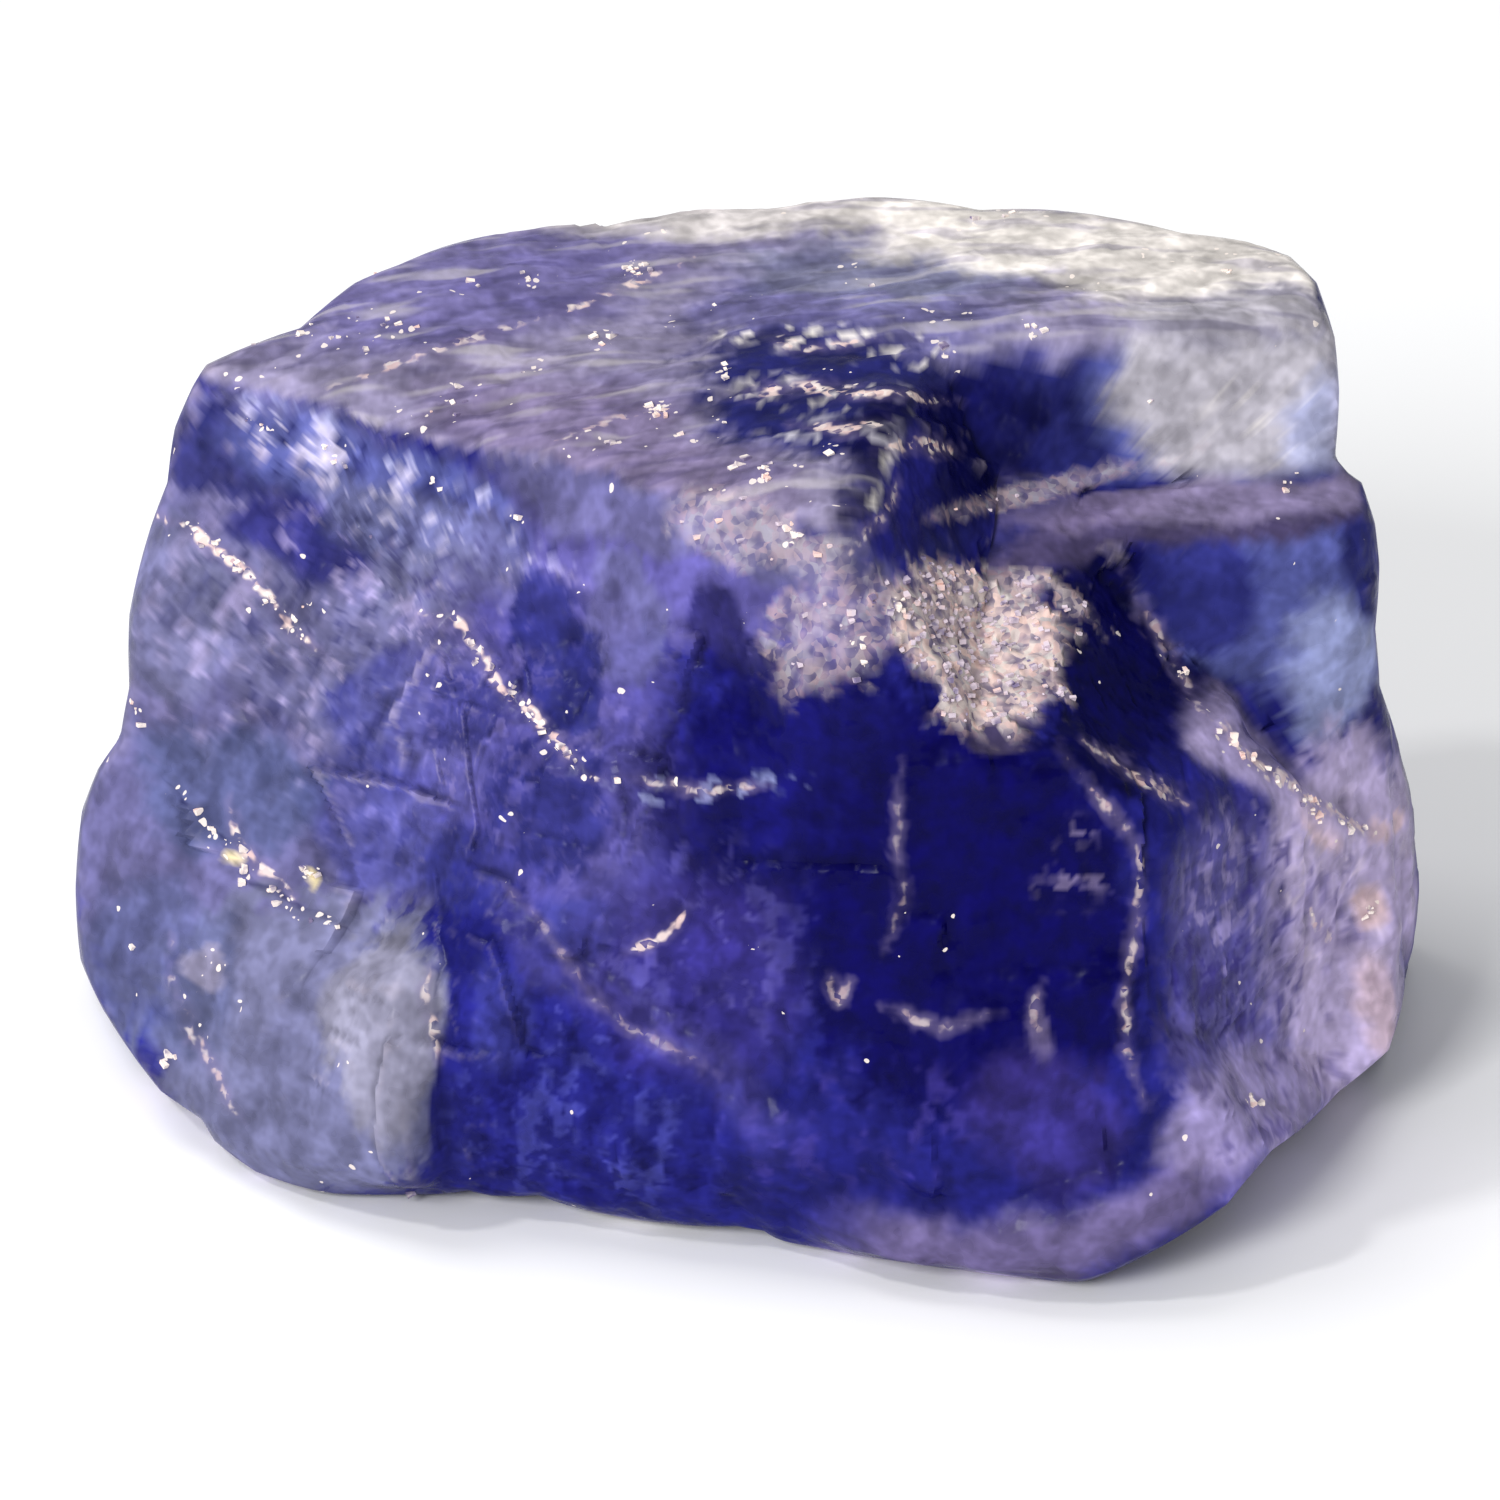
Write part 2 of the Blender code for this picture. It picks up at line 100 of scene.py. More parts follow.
@dataclass(frozen=True)
class Noise:
    """Repeatable noise in space, from -1 to 1.

    Attributes:
        seed: Any number; each one gives a pattern of its own.
    """

    seed: float = 0.0

    def corners(self, cells: Array) -> Array:
        """Returns a value from -1 to 1 for each whole-number corner."""
        scatter = np.sin(cells @ HASH_DIRECTION + HASH_SEED_STEP * self.seed) * HASH_SCALE
        return np.modf(scatter)[0]

    def scattered(self, cells: Array, cell: Array, count: int) -> tuple[Array, Array]:
        """Returns the way to each position from its cell's random point, and the cell's values."""
        values = np.stack([self.corners(cell + SCATTER_SHIFT * turn) for turn in range(count)], axis=1)
        return cells - cell - 0.5 - JITTER * values[:, :3], values

    def blended(self, cells: Array, ramp: float) -> Array:
        """Blends the corner values across each cell.

        Args:
            cells: Positions in cells.
            ramp: The share of a cell over which one value turns into the next.

        Returns:
            The blended values.
        """
        corner = np.floor(cells)
        share = smooth_step((cells - corner - 1.0 + ramp) / ramp)
        level = np.zeros(len(cells))
        for offset in itertools.product((0, 1), repeat=3):
            weight = np.prod(np.where(offset, share, 1.0 - share), axis=1)
            level += weight * self.corners(corner + offset)
        return level

    def lumps(self, points: Array, size: float) -> Array:
        """Returns smooth lumps of one size, with heights from -1 to 1."""
        return self.blended(points / size + LUMP_SHIFT * self.seed, 1.0)

    def facets(self, points: Array, size: float) -> Array:
        """Raises small blunt points with flat sides, which meet along creases.

        Args:
            points: Places in millimetres.
            size: How far apart the facets are.

        Returns:
            A height from about -0.5 to 0.5 at each place.
        """
        cells = points / size + FACET_SHIFT * self.seed
        home = np.floor(cells)
        level = np.full(len(points), -1.0)
        for offset in itertools.product((-1, 0, 1), repeat=3):
            away, values = self.scattered(cells, home + offset, 6)
            slope = np.einsum("ij,ij->i", away, values[:, 3:])
            peak = FACET_SLOPE * slope - np.abs(away).max(axis=1) + FACET_STEP * values[:, 0]
            level = np.maximum(level, peak)
        return level + FACET_STEP

    def flakes(self, points: Array, size: float) -> Array:
        """Fills space with small flakes, each of one value.

        Args:
            points: Places in millimetres.
            size: The size of the flakes.

        Returns:
            A value from -1 to 1 at each place.
        """
        cells = points / size + FLAKE_SHIFT * self.seed
        home = np.floor(cells)
        best = np.full(len(points), np.inf)
        value = np.zeros(len(points))
        for offset in itertools.product((-1, 0, 1), repeat=3):
            away, values = self.scattered(cells, home + offset, 3)
            distance = np.abs(away).max(axis=1)
            nearer = distance < best
            best = np.where(nearer, distance, best)
            value = np.where(nearer, values[:, 0], value)
        return value

    def layered(self, points: Array, size: float, layers: int) -> Array:
        """Adds ever finer lumps.

        Args:
            points: Places in millimetres.
            size: The size of the largest lumps.
            layers: How many sizes there are, each half the one before.

        Returns:
            A height from about -1 to 1 at each place.
        """
        total = np.zeros(len(points))
        for layer in range(layers):
            total += self.lumps(points + LAYER_SHIFT * layer, size / 2**layer) / 2**layer
        return total / LAYERED_HEIGHT


@dataclass(frozen=True)
class Sight:
    """The line of sight on the front of the stone, which the outline and the colours are set out on.

    Attributes:
        heart: The point inside the stone that the sight line goes through.
        tilt: The viewer's height above the level, in degrees.
        distance: The distance from the viewer's eye to the heart.
    """

    heart: Triple = (0.0, 1.0, 8.0)
    tilt: float = 28.0
    distance: float = 200.0

    def axes(self) -> Array:
        """Returns the directions across, up and towards the viewer, one in each row."""
        tilt = math.radians(self.tilt)
        sine, cosine = math.sin(tilt), math.cos(tilt)
        return np.array(((1.0, 0.0, 0.0), (0.0, sine, cosine), (0.0, -cosine, sine)))

    def heart_up(self) -> float:
        """Returns how far up the sight plane the heart stands."""
        return float(np.array(self.heart) @ self.axes()[1])

    def seen(self, points: Array) -> tuple[Array, Array, Array]:
        """Finds where points stand in the sight plane.

        Args:
            points: Places in space.

        Returns:
            Their places across, their places up, and how much nearer than the heart they are.
        """
        across, up, near = self.axes() @ (points - self.heart).T
        growth = self.distance / (self.distance - near)
        return across * growth, up * growth + self.heart_up(), near

    def placed(self, across: Array, up: Array, near: Array) -> Array:
        """Turns sight plane places back into places in space.

        Args:
            across: Places across.
            up: Places up.
            near: How much nearer than the heart each one is.

        Returns:
            The places in space, one row each.
        """
        shrink = (self.distance - near) / self.distance
        flat = np.stack((across * shrink, (up - self.heart_up()) * shrink, near), axis=1)
        return np.array(self.heart) + flat @ self.axes()


@dataclass(frozen=True)
class Facet:
    """A flat break.

    Attributes:
        bearing: Which way it faces, in degrees round from the front, with the right as positive.
        lean: How far it leans back, in degrees.
        through: A point on it.
    """

    bearing: float
    lean: float
    through: Triple

    def normal(self) -> Array:
        """Returns the direction in which the break faces."""
        bearing, lean = math.radians(self.bearing), math.radians(self.lean)
        level = math.cos(lean)
        return np.array((math.sin(bearing) * level, -math.cos(bearing) * level, math.sin(lean)))


# The share of a line over which it fades out at each end.
END_FADE = 0.22


@dataclass(frozen=True)
class Stroke:
    """A line drawn on the front, in the sight plane.

    Attributes:
        path: Its points.
    """

    path: Path

    def beside(self, across: Array, up: Array) -> tuple[Array, Array]:
        """Measures places against the line.

        Args:
            across: Places across.
            up: Places up.

        Returns:
            The distance to the line, positive on its right, and a share that fades to 0 at its ends.
        """
        best = np.full(len(across), np.inf)
        side = np.zeros(len(across))
        place = np.zeros(len(across))
        legs = np.diff(np.array(self.path), axis=0)
        lengths = np.linalg.norm(legs, axis=1)
        starts = np.concatenate(([0.0], np.cumsum(lengths)))
        for (x0, y0), (dx, dy), length, start in zip(self.path, legs, lengths, starts):
            rx, ry = across - x0, up - y0
            share = np.clip((rx * dx + ry * dy) / length**2, 0.0, 1.0)
            distance = np.hypot(rx - share * dx, ry - share * dy)
            nearer = distance < best
            best = np.where(nearer, distance, best)
            side = np.where(nearer, np.sign(rx * dy - ry * dx), side)
            place = np.where(nearer, start + share * length, place)
        from_end = np.minimum(place, starts[-1] - place)
        return best * side, smooth_step(from_end / (END_FADE * starts[-1]))


@dataclass(frozen=True)
class Step(Stroke):
    """A fracture step. The stone is raised on the right of the line.

    Attributes:
        rise: How far it is raised.
        reach: How far from the line the rise has faded out.
        width: The width of the scarp.
    """

    rise: float
    reach: float
    width: float = 0.35

    def height(self, across: Array, up: Array) -> Array:
        """Gives the step's height.

        Args:
            across: Places across.
            up: Places up.

        Returns:
            The height over the plain facet at each place.
        """
        aside, ends = self.beside(across, up)
        scarp = smooth_step(aside / self.width * 0.5 + 0.5)
        return self.rise * scarp * np.exp(-((np.maximum(aside, 0.0) / self.reach) ** 2)) * ends


@dataclass(frozen=True)
class Ridge(Stroke):
    """A ridge, or a groove where the rise is negative.

    Attributes:
        rise: Its height.
        width: Half its width.
    """

    rise: float
    width: float

    def height(self, across: Array, up: Array) -> Array:
        """Returns the height over the plain facet at each place."""
        aside, ends = self.beside(across, up)
        return self.rise * np.exp(-((aside / self.width) ** 2)) * ends


@dataclass(frozen=True)
class Oval:
    """An oval on the front, in the sight plane.

    Attributes:
        centre: Its middle.
        radii: Its half sizes.
        turn: How far it is turned, in degrees, anticlockwise.
    """

    centre: tuple[float, float]
    radii: tuple[float, float]
    turn: float = 0.0

    def out(self, across: Array, up: Array) -> Array:
        """Measures places against the oval.

        Args:
            across: Places across.
            up: Places up.

        Returns:
            0 at the middle, 1 on the rim and more outside.
        """
        turn = math.radians(self.turn)
        dx, dy = across - self.centre[0], up - self.centre[1]
        along = (dx * math.cos(turn) + dy * math.sin(turn)) / self.radii[0]
        athwart = (dy * math.cos(turn) - dx * math.sin(turn)) / self.radii[1]
        return np.hypot(along, athwart)


@dataclass(frozen=True)
class Swell(Oval):
    """A low mound, or a hollow where the rise is negative.

    Attributes:
        rise: Its height.
    """

    rise: float = 0.3

    def height(self, across: Array, up: Array) -> Array:
        """Returns the height over the plain facet at each place."""
        return self.rise * np.exp(-(self.out(across, up) ** 2))


class Break(Enum):
    """The flat breaks that bound the stone."""

    BASE = Facet(0, -90, (0.0, 0.0, 0.0))
    LEFT_FRONT = Facet(-35.6, 20.3, (2.7, -7.0, 17.0))
    FRONT = Facet(-18, 7, (4.0, -9.9, 2.0))
    LOW_FRONT = Facet(-15, -20, (0.0, -7.3, 0.0))
    BROKEN_CORNER = Facet(18, 34, (3.1, -6.7, 15.6))
    NEAR_END = Facet(8, 7, (5.0, -9.9, 0.5))
    NEAR_LEDGE = Facet(4, 76, (5.0, -2.2, 14.2))
    NEAR_LEDGE_SIDE = Facet(77, 44, (7.1, -1.9, 13.9))
    SHOULDER = Facet(11, 19.4, (7.1, -1.9, 13.9))
    RIGHT_FRONT = Facet(58, 4, (11.4, -4.4, 6.0))
    LOW_RIGHT_FRONT = Facet(54, -24, (11.0, -4.6, 0.0))
    RIGHT = Facet(95, 9, (15.2, 1.0, 4.6))
    LOW_RIGHT = Facet(80, -22, (15.0, -1.0, 2.6))
    LEFT = Facet(-80, 12, (-15.4, 1.5, 5.0))
    LOW_LEFT = Facet(-75, -24, (-14.9, -1.0, 2.4))
    LEDGE = Facet(10, 84, (9.0, 0.0, 14.3))
    NOTCH_SIDE = Facet(78, 32, (3.3, -4.0, 16.3))
    RISER = Facet(5, 18, (8.9, 0.4, 14.3))
    TOP_LEFT = Facet(-62, 83, (2.7, -7.0, 17.0))
    TOP_RIGHT = Facet(100, 88, (8.9, 1.5, 17.75))
    TOP_END = Facet(90, 6, (13.4, 3.0, 15.0))
    TOP_END_CORNER = Facet(70, 45, (12.7, 3.0, 17.1))
    TOP_BACK = Facet(-172, 50, (-4.0, 8.6, 17.3))
    LOW_BACK = Facet(176, -30, (0.0, 10.6, 1.6))
    BACK = Facet(177, 10, (0.0, 10.6, 2.0))
    BACK_BEVEL = Facet(168, 48, (4.0, 9.4, 11.0))
    BACK_RIGHT = Facet(140, 6, (12.4, 7.0, 4.0))
    BACK_LEFT = Facet(-146, 9, (-9.6, 8.2, 4.0))
    BACK_UPPER = Facet(-176, 4, (0.0, 9.0, 13.0))
    BACK_UPPER_RIGHT = Facet(152, 3, (10.2, 7.6, 13.0))
    BACK_UPPER_LEFT = Facet(-134, 7, (-10.4, 6.2, 12.0))
    BACK_END = Facet(-171, 7, (-2.0, 9.8, 8.0))
    LEFT_SHELF = Facet(-112, 62, (-11.6, 5.0, 9.4))


LEFT_SIDE = (Break.BASE, Break.LOW_BACK, Break.LEFT, Break.LOW_LEFT, Break.LEFT_FRONT)
FRONT_SIDE = (Break.FRONT, Break.LOW_FRONT, Break.NEAR_END)
TOP_SIDE = (Break.TOP_LEFT, Break.TOP_RIGHT, Break.TOP_BACK)
RIGHT_SIDE = (Break.RIGHT_FRONT, Break.LOW_RIGHT_FRONT, Break.RIGHT, Break.LOW_RIGHT)
LOWER_BACK = (Break.BACK, Break.BACK_RIGHT, Break.BACK_LEFT)
UPPER_BACK = (Break.BACK_UPPER_RIGHT, Break.BACK_UPPER_LEFT)

BLOCKS = (
    LEFT_SIDE
    + FRONT_SIDE
    + RIGHT_SIDE
    + LOWER_BACK
    + (Break.SHOULDER, Break.LEDGE, Break.BACK_BEVEL, Break.LEFT_SHELF),
    LEFT_SIDE + FRONT_SIDE + RIGHT_SIDE + LOWER_BACK + (Break.NEAR_LEDGE, Break.NEAR_LEDGE_SIDE),
    LEFT_SIDE
    + FRONT_SIDE
    + TOP_SIDE
    + UPPER_BACK
    + (Break.BROKEN_CORNER, Break.NOTCH_SIDE, Break.BACK_END),
    LEFT_SIDE + TOP_SIDE + UPPER_BACK + (Break.RISER, Break.TOP_END, Break.TOP_END_CORNER, Break.BACK_UPPER),
)

# The girdle, clockwise from the top left corner.
GIRDLE: Path = (
    (-12.1, 15.8), (-10.0, 16.6), (-8.8, 17.6), (-7.8, 18.0), (-5.9, 18.7), (-3.6, 19.1), (-1.1, 19.4),
    (1.8, 19.5), (4.0, 19.4), (5.1, 19.2), (9.6, 18.7), (11.1, 18.5), (12.0, 18.2), (12.6, 17.6),
    (13.0, 16.4), (13.1, 15.2), (13.0, 13.75), (13.3, 13.4), (13.6, 13.2), (13.9, 12.3), (14.0, 11.4),
    (13.9, 10.0), (14.0, 8.7), (14.6, 6.9), (14.85, 5.8), (14.95, 4.7), (14.85, 3.4), (14.5, 1.6),
    (14.2, 0.7), (13.1, -0.2), (12.3, -1.0), (11.6, -1.5), (11.0, -2.2), (10.6, -2.7), (9.0, -3.7),
    (7.4, -4.45), (6.2, -4.55), (5.1, -4.7), (2.9, -4.2), (1.1, -3.95), (0.3, -3.3), (-0.3, -3.2),
    (-2.4, -3.2), (-4.7, -2.5), (-5.8, -2.55), (-6.3, -2.4), (-7.2, -2.6), (-9.3, -2.5), (-11.0, -2.0),
    (-11.9, -1.3), (-12.2, -0.8), (-13.1, -0.2), (-13.8, 0.7), (-14.4, 1.6), (-14.9, 2.7), (-15.0, 4.3),
    (-14.85, 6.0), (-14.5, 6.9), (-14.0, 7.6), (-13.8, 8.7), (-13.8, 10.3), (-13.3, 12.3),
    (-12.95, 13.2), (-12.8, 14.4), (-12.4, 15.3),
)

# Lines that both the relief and the colours follow.
UPPER_CRACK: Path = ((-13.4, 12.5), (-11.9, 11.9), (-10.8, 10.7), (-9.5, 9.3))
MIDDLE_CRACK: Path = ((-7.6, 10.4), (-6.6, 10.1), (-5.5, 8.8), (-4.2, 7.4), (-3.1, 6.4))
LOWER_CRACK: Path = ((-13.6, 7.2), (-12.2, 5.8), (-11.3, 4.7), (-9.9, 3.7), (-8.2, 3.2))
LOBE_WALL: Path = ((-6.8, 3.2), (-6.95, 1.0), (-6.9, -2.4))
LIP_EDGE: Path = ((0.6, -2.6), (2.4, -2.5), (5.2, -3.0), (8.3, -2.0), (10.6, -0.9))
RIGHT_STREAK: Path = ((9.6, 8.7), (10.7, 7.4), (12.2, 6.3), (14.4, 5.1))
SLANT_BAND: Path = ((-6.4, 5.2), (-4.4, 2.8), (-1.5, 0.8), (1.9, -2.0))
WAVY_VEIN: Path = ((3.5, 7.2), (3.2, 5.2), (3.4, 4.0), (2.9, 2.7))
# A painted highlight along the right edge of the deep blue core.
EDGE_HIGHLIGHT: Path = ((6.8, 7.4), (8.4, 5.6), (8.7, 4.7), (8.4, 2.7), (8.3, 0.7), (8.9, -0.6))
FAINT_CURVE: Path = ((8.2, 11.4), (9.1, 9.8), (9.8, 8.7), (10.7, 7.2))

FROST_AREAS = (
    (Oval((4.9, 9.7), (2.2, 1.9), -20.0), 1.0),
    (Oval((1.9, 9.9), (1.7, 1.4), -20.0), 0.4),
    (Oval((0.4, 11.9), (2.6, 0.8), -24.0), 0.35),
    (Oval((6.4, 13.0), (3.0, 0.25), 14.0), 0.35),
)

FRONT_FORMS = (
    Step(UPPER_CRACK, 0.32, 2.8),
    Step(MIDDLE_CRACK, 0.28, 2.4),
    Step(LOWER_CRACK, 0.35, 2.8),
    Step(LOBE_WALL, 0.8, 4.5),
    Step(LIP_EDGE, 0.7, 2.0),
    Step(RIGHT_STREAK, 0.4, 2.6),
    Step(SLANT_BAND, 0.35, 1.8),
    Ridge(WAVY_VEIN, 0.22, 0.35),
    Ridge(FAINT_CURVE, 0.18, 0.5),
    Ridge(((-9.8, 11.6), (-8.0, 11.0), (-7.2, 10.2)), -0.25, 0.4),
    Ridge(((-4.3, 10.4), (-3.4, 8.6), (-3.2, 7.0)), -0.3, 0.7),
    Swell((-9.2, 0.6), (2.2, 2.4), rise=0.3),
    Swell((-12.6, 9.6), (1.6, 2.0), rise=0.3),
    Swell((12.2, 2.2), (2.0, 3.4), rise=0.35),
    Swell((11.6, 10.6), (1.8, 1.8), rise=0.25),
    Swell((-1.2, 8.4), (1.8, 1.6), rise=-0.3),
    Swell((5.6, 3.2), (2.4, 2.6), rise=-0.3),
)


@dataclass(frozen=True)
class Grade:
    """One grade of roughness.

    Attributes:
        seed: The seed of its pattern.
        size: How far apart its forms are.
        height: How high they are.
    """

    seed: float
    size: float
    height: float


CLEAVAGE_BLOCKS = (Grade(0, 6.1, 0.20), Grade(0, 2.9, 0.11))
BROKEN_FACETS = (Grade(7, 2.3, 0.24), Grade(8, 1.0, 0.12))
SOFT_LUMPS = (Grade(3, 7.0, 0.35), Grade(4, 2.4, 0.16), Grade(5, 1.1, 0.05))
GRIT = Grade(9, 0.5, 0.06)
FROST_GRIT = Grade(9, 0.5, 0.14)

# The ragged edge of the crushed salt, with how far out it reaches and fades, as shares of its ovals.
FROST_EDGE = Grade(18, 1.4, 0.45)
FROST_FLAKES = Grade(19, 0.5, 0.2)
FROST_REACH = 1.15
FROST_FADE = 0.5

# The long low terraces of the top, the finer ones on them, and the broken stairs at its near corner.
TOP_TERRACE = Grade(1, 1.7, 0.09)
FINE_TERRACE = Grade(1, 0.7, 0.03)
NEAR_STAIR = Grade(36, 0.85, 0.22)
NEAR_STAIRS_AREA = Oval((2.6, 14.6), (4.0, 2.4))
TERRACE_BENDS = 4.0


@dataclass
class StoneShape:
    """The stone's surface, along rays from its heart.

    Attributes:
        sight: The line of sight that the girdle is set out on.
        grid_size: The gridded box that the rays go through.
        grid_counts: How many squares the grid has along X, Y and Z.
        row_crowding: How strongly the grid's rows are drawn towards the front.
        sharpness: How sharp the meeting of two facets is.
        wear_width: How far wear reaches from an edge.
        trim_softness: How softly the girdle trims the stone.
        crystal_turn: How far the cleavage directions are turned from X, in degrees.
        terrace_turn: The direction of the top's terraces, in degrees from X.
        base_calm: The height over which relief fades out to the flat base.
        least_relief: The share of the relief that is left where the rays graze the surface.
        relief_slope: How squarely a ray has to meet the surface for full relief.
        grazing_slope: How squarely it has to meet it to need no smoothing.
        grazing_rounds: How often grazed places are smoothed.
        base_skin: The height below which a plain facet is taken for the base.
        wander: How far the terraces and the cleavage blocks wander, in millimetres.
        seen_from: How squarely a place has to face the viewer to count as seen at all.
        seen_span: How much more squarely it has to face them to count as fully seen.
        level_from: The upward part of the facing from which a place counts as level.
        level_span: How much greater it is where a place is fully level.
        riser_share: The share of a stair's pitch that its riser takes.
        front_calm: How much the cleavage blocks are held back on the front and the top.
        level_calm: How much the broken facets are held back where the stone is level.
    """

    sight: Sight
    grid_size: Triple = (30.0, 20.0, 18.0)
    grid_counts: tuple[int, int, int] = (250, 104, 150)
    row_crowding: float = 1.35
    sharpness: float = 70.0
    wear_width: float = 0.5
    trim_softness: float = 0.12
    crystal_turn: float = -24.0
    terrace_turn: float = 31.0
    base_calm: float = 1.2
    least_relief: float = 0.15
    relief_slope: float = 0.45
    grazing_slope: float = 0.62
    grazing_rounds: int = 2
    base_skin: float = 0.02
    wander: float = 0.5
    seen_from: float = 0.05
    seen_span: float = 0.3
    level_from: float = 0.7
    level_span: float = 0.2
    riser_share: float = 0.25
    front_calm: float = 0.85
    level_calm: float = 0.7
    points: Array = field(init=False)
    quads: Array = field(init=False)

    def build(self) -> None:
        """Works out the points, in millimetres, and the quads."""
        cells, self.quads = self.grid()
        size = np.array(self.grid_size)
        box = (cells / self.grid_counts - 0.5) * size
        box[:, 1] = size[1] * (0.5 - (1.0 - cells[:, 1] / self.grid_counts[1]) ** self.row_crowding)
        rays = box / np.linalg.norm(box, axis=1, keepdims=True)
        reach = np.max([self.reach(block, rays) for block in BLOCKS], axis=0)
        plain = self.worn(np.array(self.sight.heart) + rays * reach[:, None])
        normals = self.normals(plain)
        square = np.einsum("ij,ij->i", rays, normals)
        calm = smooth_step(plain[:, 2] / self.base_calm)
        calm *= self.least_relief + (1.0 - self.least_relief) * smooth_step(square / self.relief_slope)
        raised = plain + normals * (self.relief(plain, normals) * calm)[:, None]
        grazing = 1.0 - smooth_step(square / self.grazing_slope)
        for _ in range(self.grazing_rounds):
            raised += (self.worn(raised) - raised) * grazing[:, None]
        self.points = self.trimmed(raised)
        on_base = (plain[:, 2] < self.base_skin) | (self.points[:, 2] < 0.0)
        toward = self.sight.axes()[2]
        slide = np.where(on_base, self.points[:, 2] / toward[2], 0.0)
        self.points -= np.outer(slide, toward)

    def grid(self) -> tuple[Array, Array]:
        """Grids the outside of a box.

        Returns:
            The corners in whole squares, and the quads facing out.
        """
        corners, quads, start = [], [], 0
        for axis in range(3):
            first, second = (axis + 1) % 3, (axis + 2) % 3
            rows, columns = self.grid_counts[first] + 1, self.grid_counts[second] + 1
            index = np.arange(rows * columns).reshape(rows, columns)
            loops = (index[:-1, :-1], index[1:, :-1], index[1:, 1:], index[:-1, 1:])
            loop = np.stack(loops, axis=-1).reshape(-1, 4)
            for side in (0, self.grid_counts[axis]):
                face = np.empty((rows * columns, 3), dtype=int)
                face[:, axis] = side
                face[:, first] = index.ravel() // columns
                face[:, second] = index.ravel() % columns
                corners.append(face)
                quads.append((loop if side else loop[:, ::-1]) + start)
                start += rows * columns
        unique, index = np.unique(np.concatenate(corners), axis=0, return_inverse=True)
        return unique, index.ravel()[np.concatenate(quads)]

    def reach(self, block: tuple[Break, ...], rays: Array) -> Array:
        """Measures a block along rays from the heart.

        Args:
            block: The breaks that bound it.
            rays: Unit directions.

        Returns:
            How far each ray goes before it leaves the block.
        """
        closeness = np.zeros(len(rays))
        for edge in block:
            normal = edge.value.normal()
            clearance = normal @ (np.array(edge.value.through) - self.sight.heart)
            closeness += (np.maximum(rays @ normal, 0.0) / clearance) ** self.sharpness
        return closeness ** (-1.0 / self.sharpness)

    def worn(self, points: Array) -> Array:
        """Rounds the edges.

        Args:
            points: The plain facets' points.

        Returns:
            The points, with each drawn towards its neighbours.
        """
        step = self.grid_size[0] / self.grid_counts[0]
        passes = round((self.wear_width / step) ** 2)
        ends = np.concatenate([self.quads, np.roll(self.quads, 1, axis=1)]).ravel()
        others = np.concatenate([np.roll(self.quads, 1, axis=1), self.quads]).ravel()
        count = np.bincount(ends, minlength=len(points))
        for _ in range(passes):
            sums = [np.bincount(ends, points[others, axis], len(points)) for axis in range(3)]
            points = 0.5 * points + 0.5 * np.stack(sums, axis=1) / count[:, None]
        return points

    def normals(self, points: Array) -> Array:
        """Finds which way the surface faces.

        Args:
            points: The grid's points in space.

        Returns:
            A unit direction for each point.
        """
        corners = points[self.quads]
        faces = np.cross(corners[:, 2] - corners[:, 0], corners[:, 3] - corners[:, 1])
        ends = self.quads.ravel()
        spread = np.repeat(faces, 4, axis=0)
        sums = [np.bincount(ends, spread[:, axis], len(points)) for axis in range(3)]
        normals = np.stack(sums, axis=1)
        return normals / np.linalg.norm(normals, axis=1, keepdims=True)

    def facing(self, normals: Array) -> Array:
        """Returns 1 where the surface faces the viewer of the front, and 0 where it faces away."""
        return smooth_step((normals @ self.sight.axes()[2] - self.seen_from) / self.seen_span)

    def level(self, normals: Array) -> Array:
        """Returns 1 where the surface is level, and 0 on its walls."""
        return smooth_step((normals[:, 2] - self.level_from) / self.level_span)

    def along_terraces(self, points: Array) -> Array:
        """Returns how far each point is across the top's terraces."""
        turn = math.radians(self.terrace_turn)
        return -points[:, 0] * math.sin(turn) + points[:, 1] * math.cos(turn)

    def stair(self, distance: Array, pitch: float) -> Array:
        """Makes a worn stair of unit height.

        Args:
            distance: How far up the stair each place is.
            pitch: The length of a tread.

        Returns:
            The height above a plain slope, with a short rise at the end of each long tread.
        """
        tread = distance / pitch
        part = tread - np.floor(tread)
        return smooth_step(part / self.riser_share) - part - 0.1

    def crystal_axes(self) -> Array:
        """Returns the three cleavage directions, one in each row."""
        turn = math.radians(self.crystal_turn)
        cosine, sine = math.cos(turn), math.sin(turn)
        return np.array(((cosine, -sine, 0.04), (sine, cosine, 0.03), (-0.05, 0.02, 1.0)))

    def cleavage(self, points: Array, size: float) -> Array:
        """Returns the levels, from -1 to 1, of square blocks on the crystal's own axes."""
        return Noise().blended(points @ self.crystal_axes().T / size, 0.16)

    def frost(self, points: Array, facing: Array) -> Array:
        """Says how thick the crushed salt is.

        Args:
            points: Places on the stone.
            facing: 1 where the front is seen.

        Returns:
            The thickness at each place, from 0 to 1.
        """
        across, up, _ = self.sight.seen(points)
        ragged = FROST_EDGE.height * Noise(FROST_EDGE.seed).layered(points, FROST_EDGE.size, 4)
        ragged += FROST_FLAKES.height * Noise(FROST_FLAKES.seed).flakes(points, FROST_FLAKES.size)
        thick = np.zeros(len(points))
        for area, most in FROST_AREAS:
            depth = FROST_REACH - area.out(across, up) + ragged
            thick = np.maximum(thick, most * smooth_step(depth / FROST_FADE))
        return thick * facing

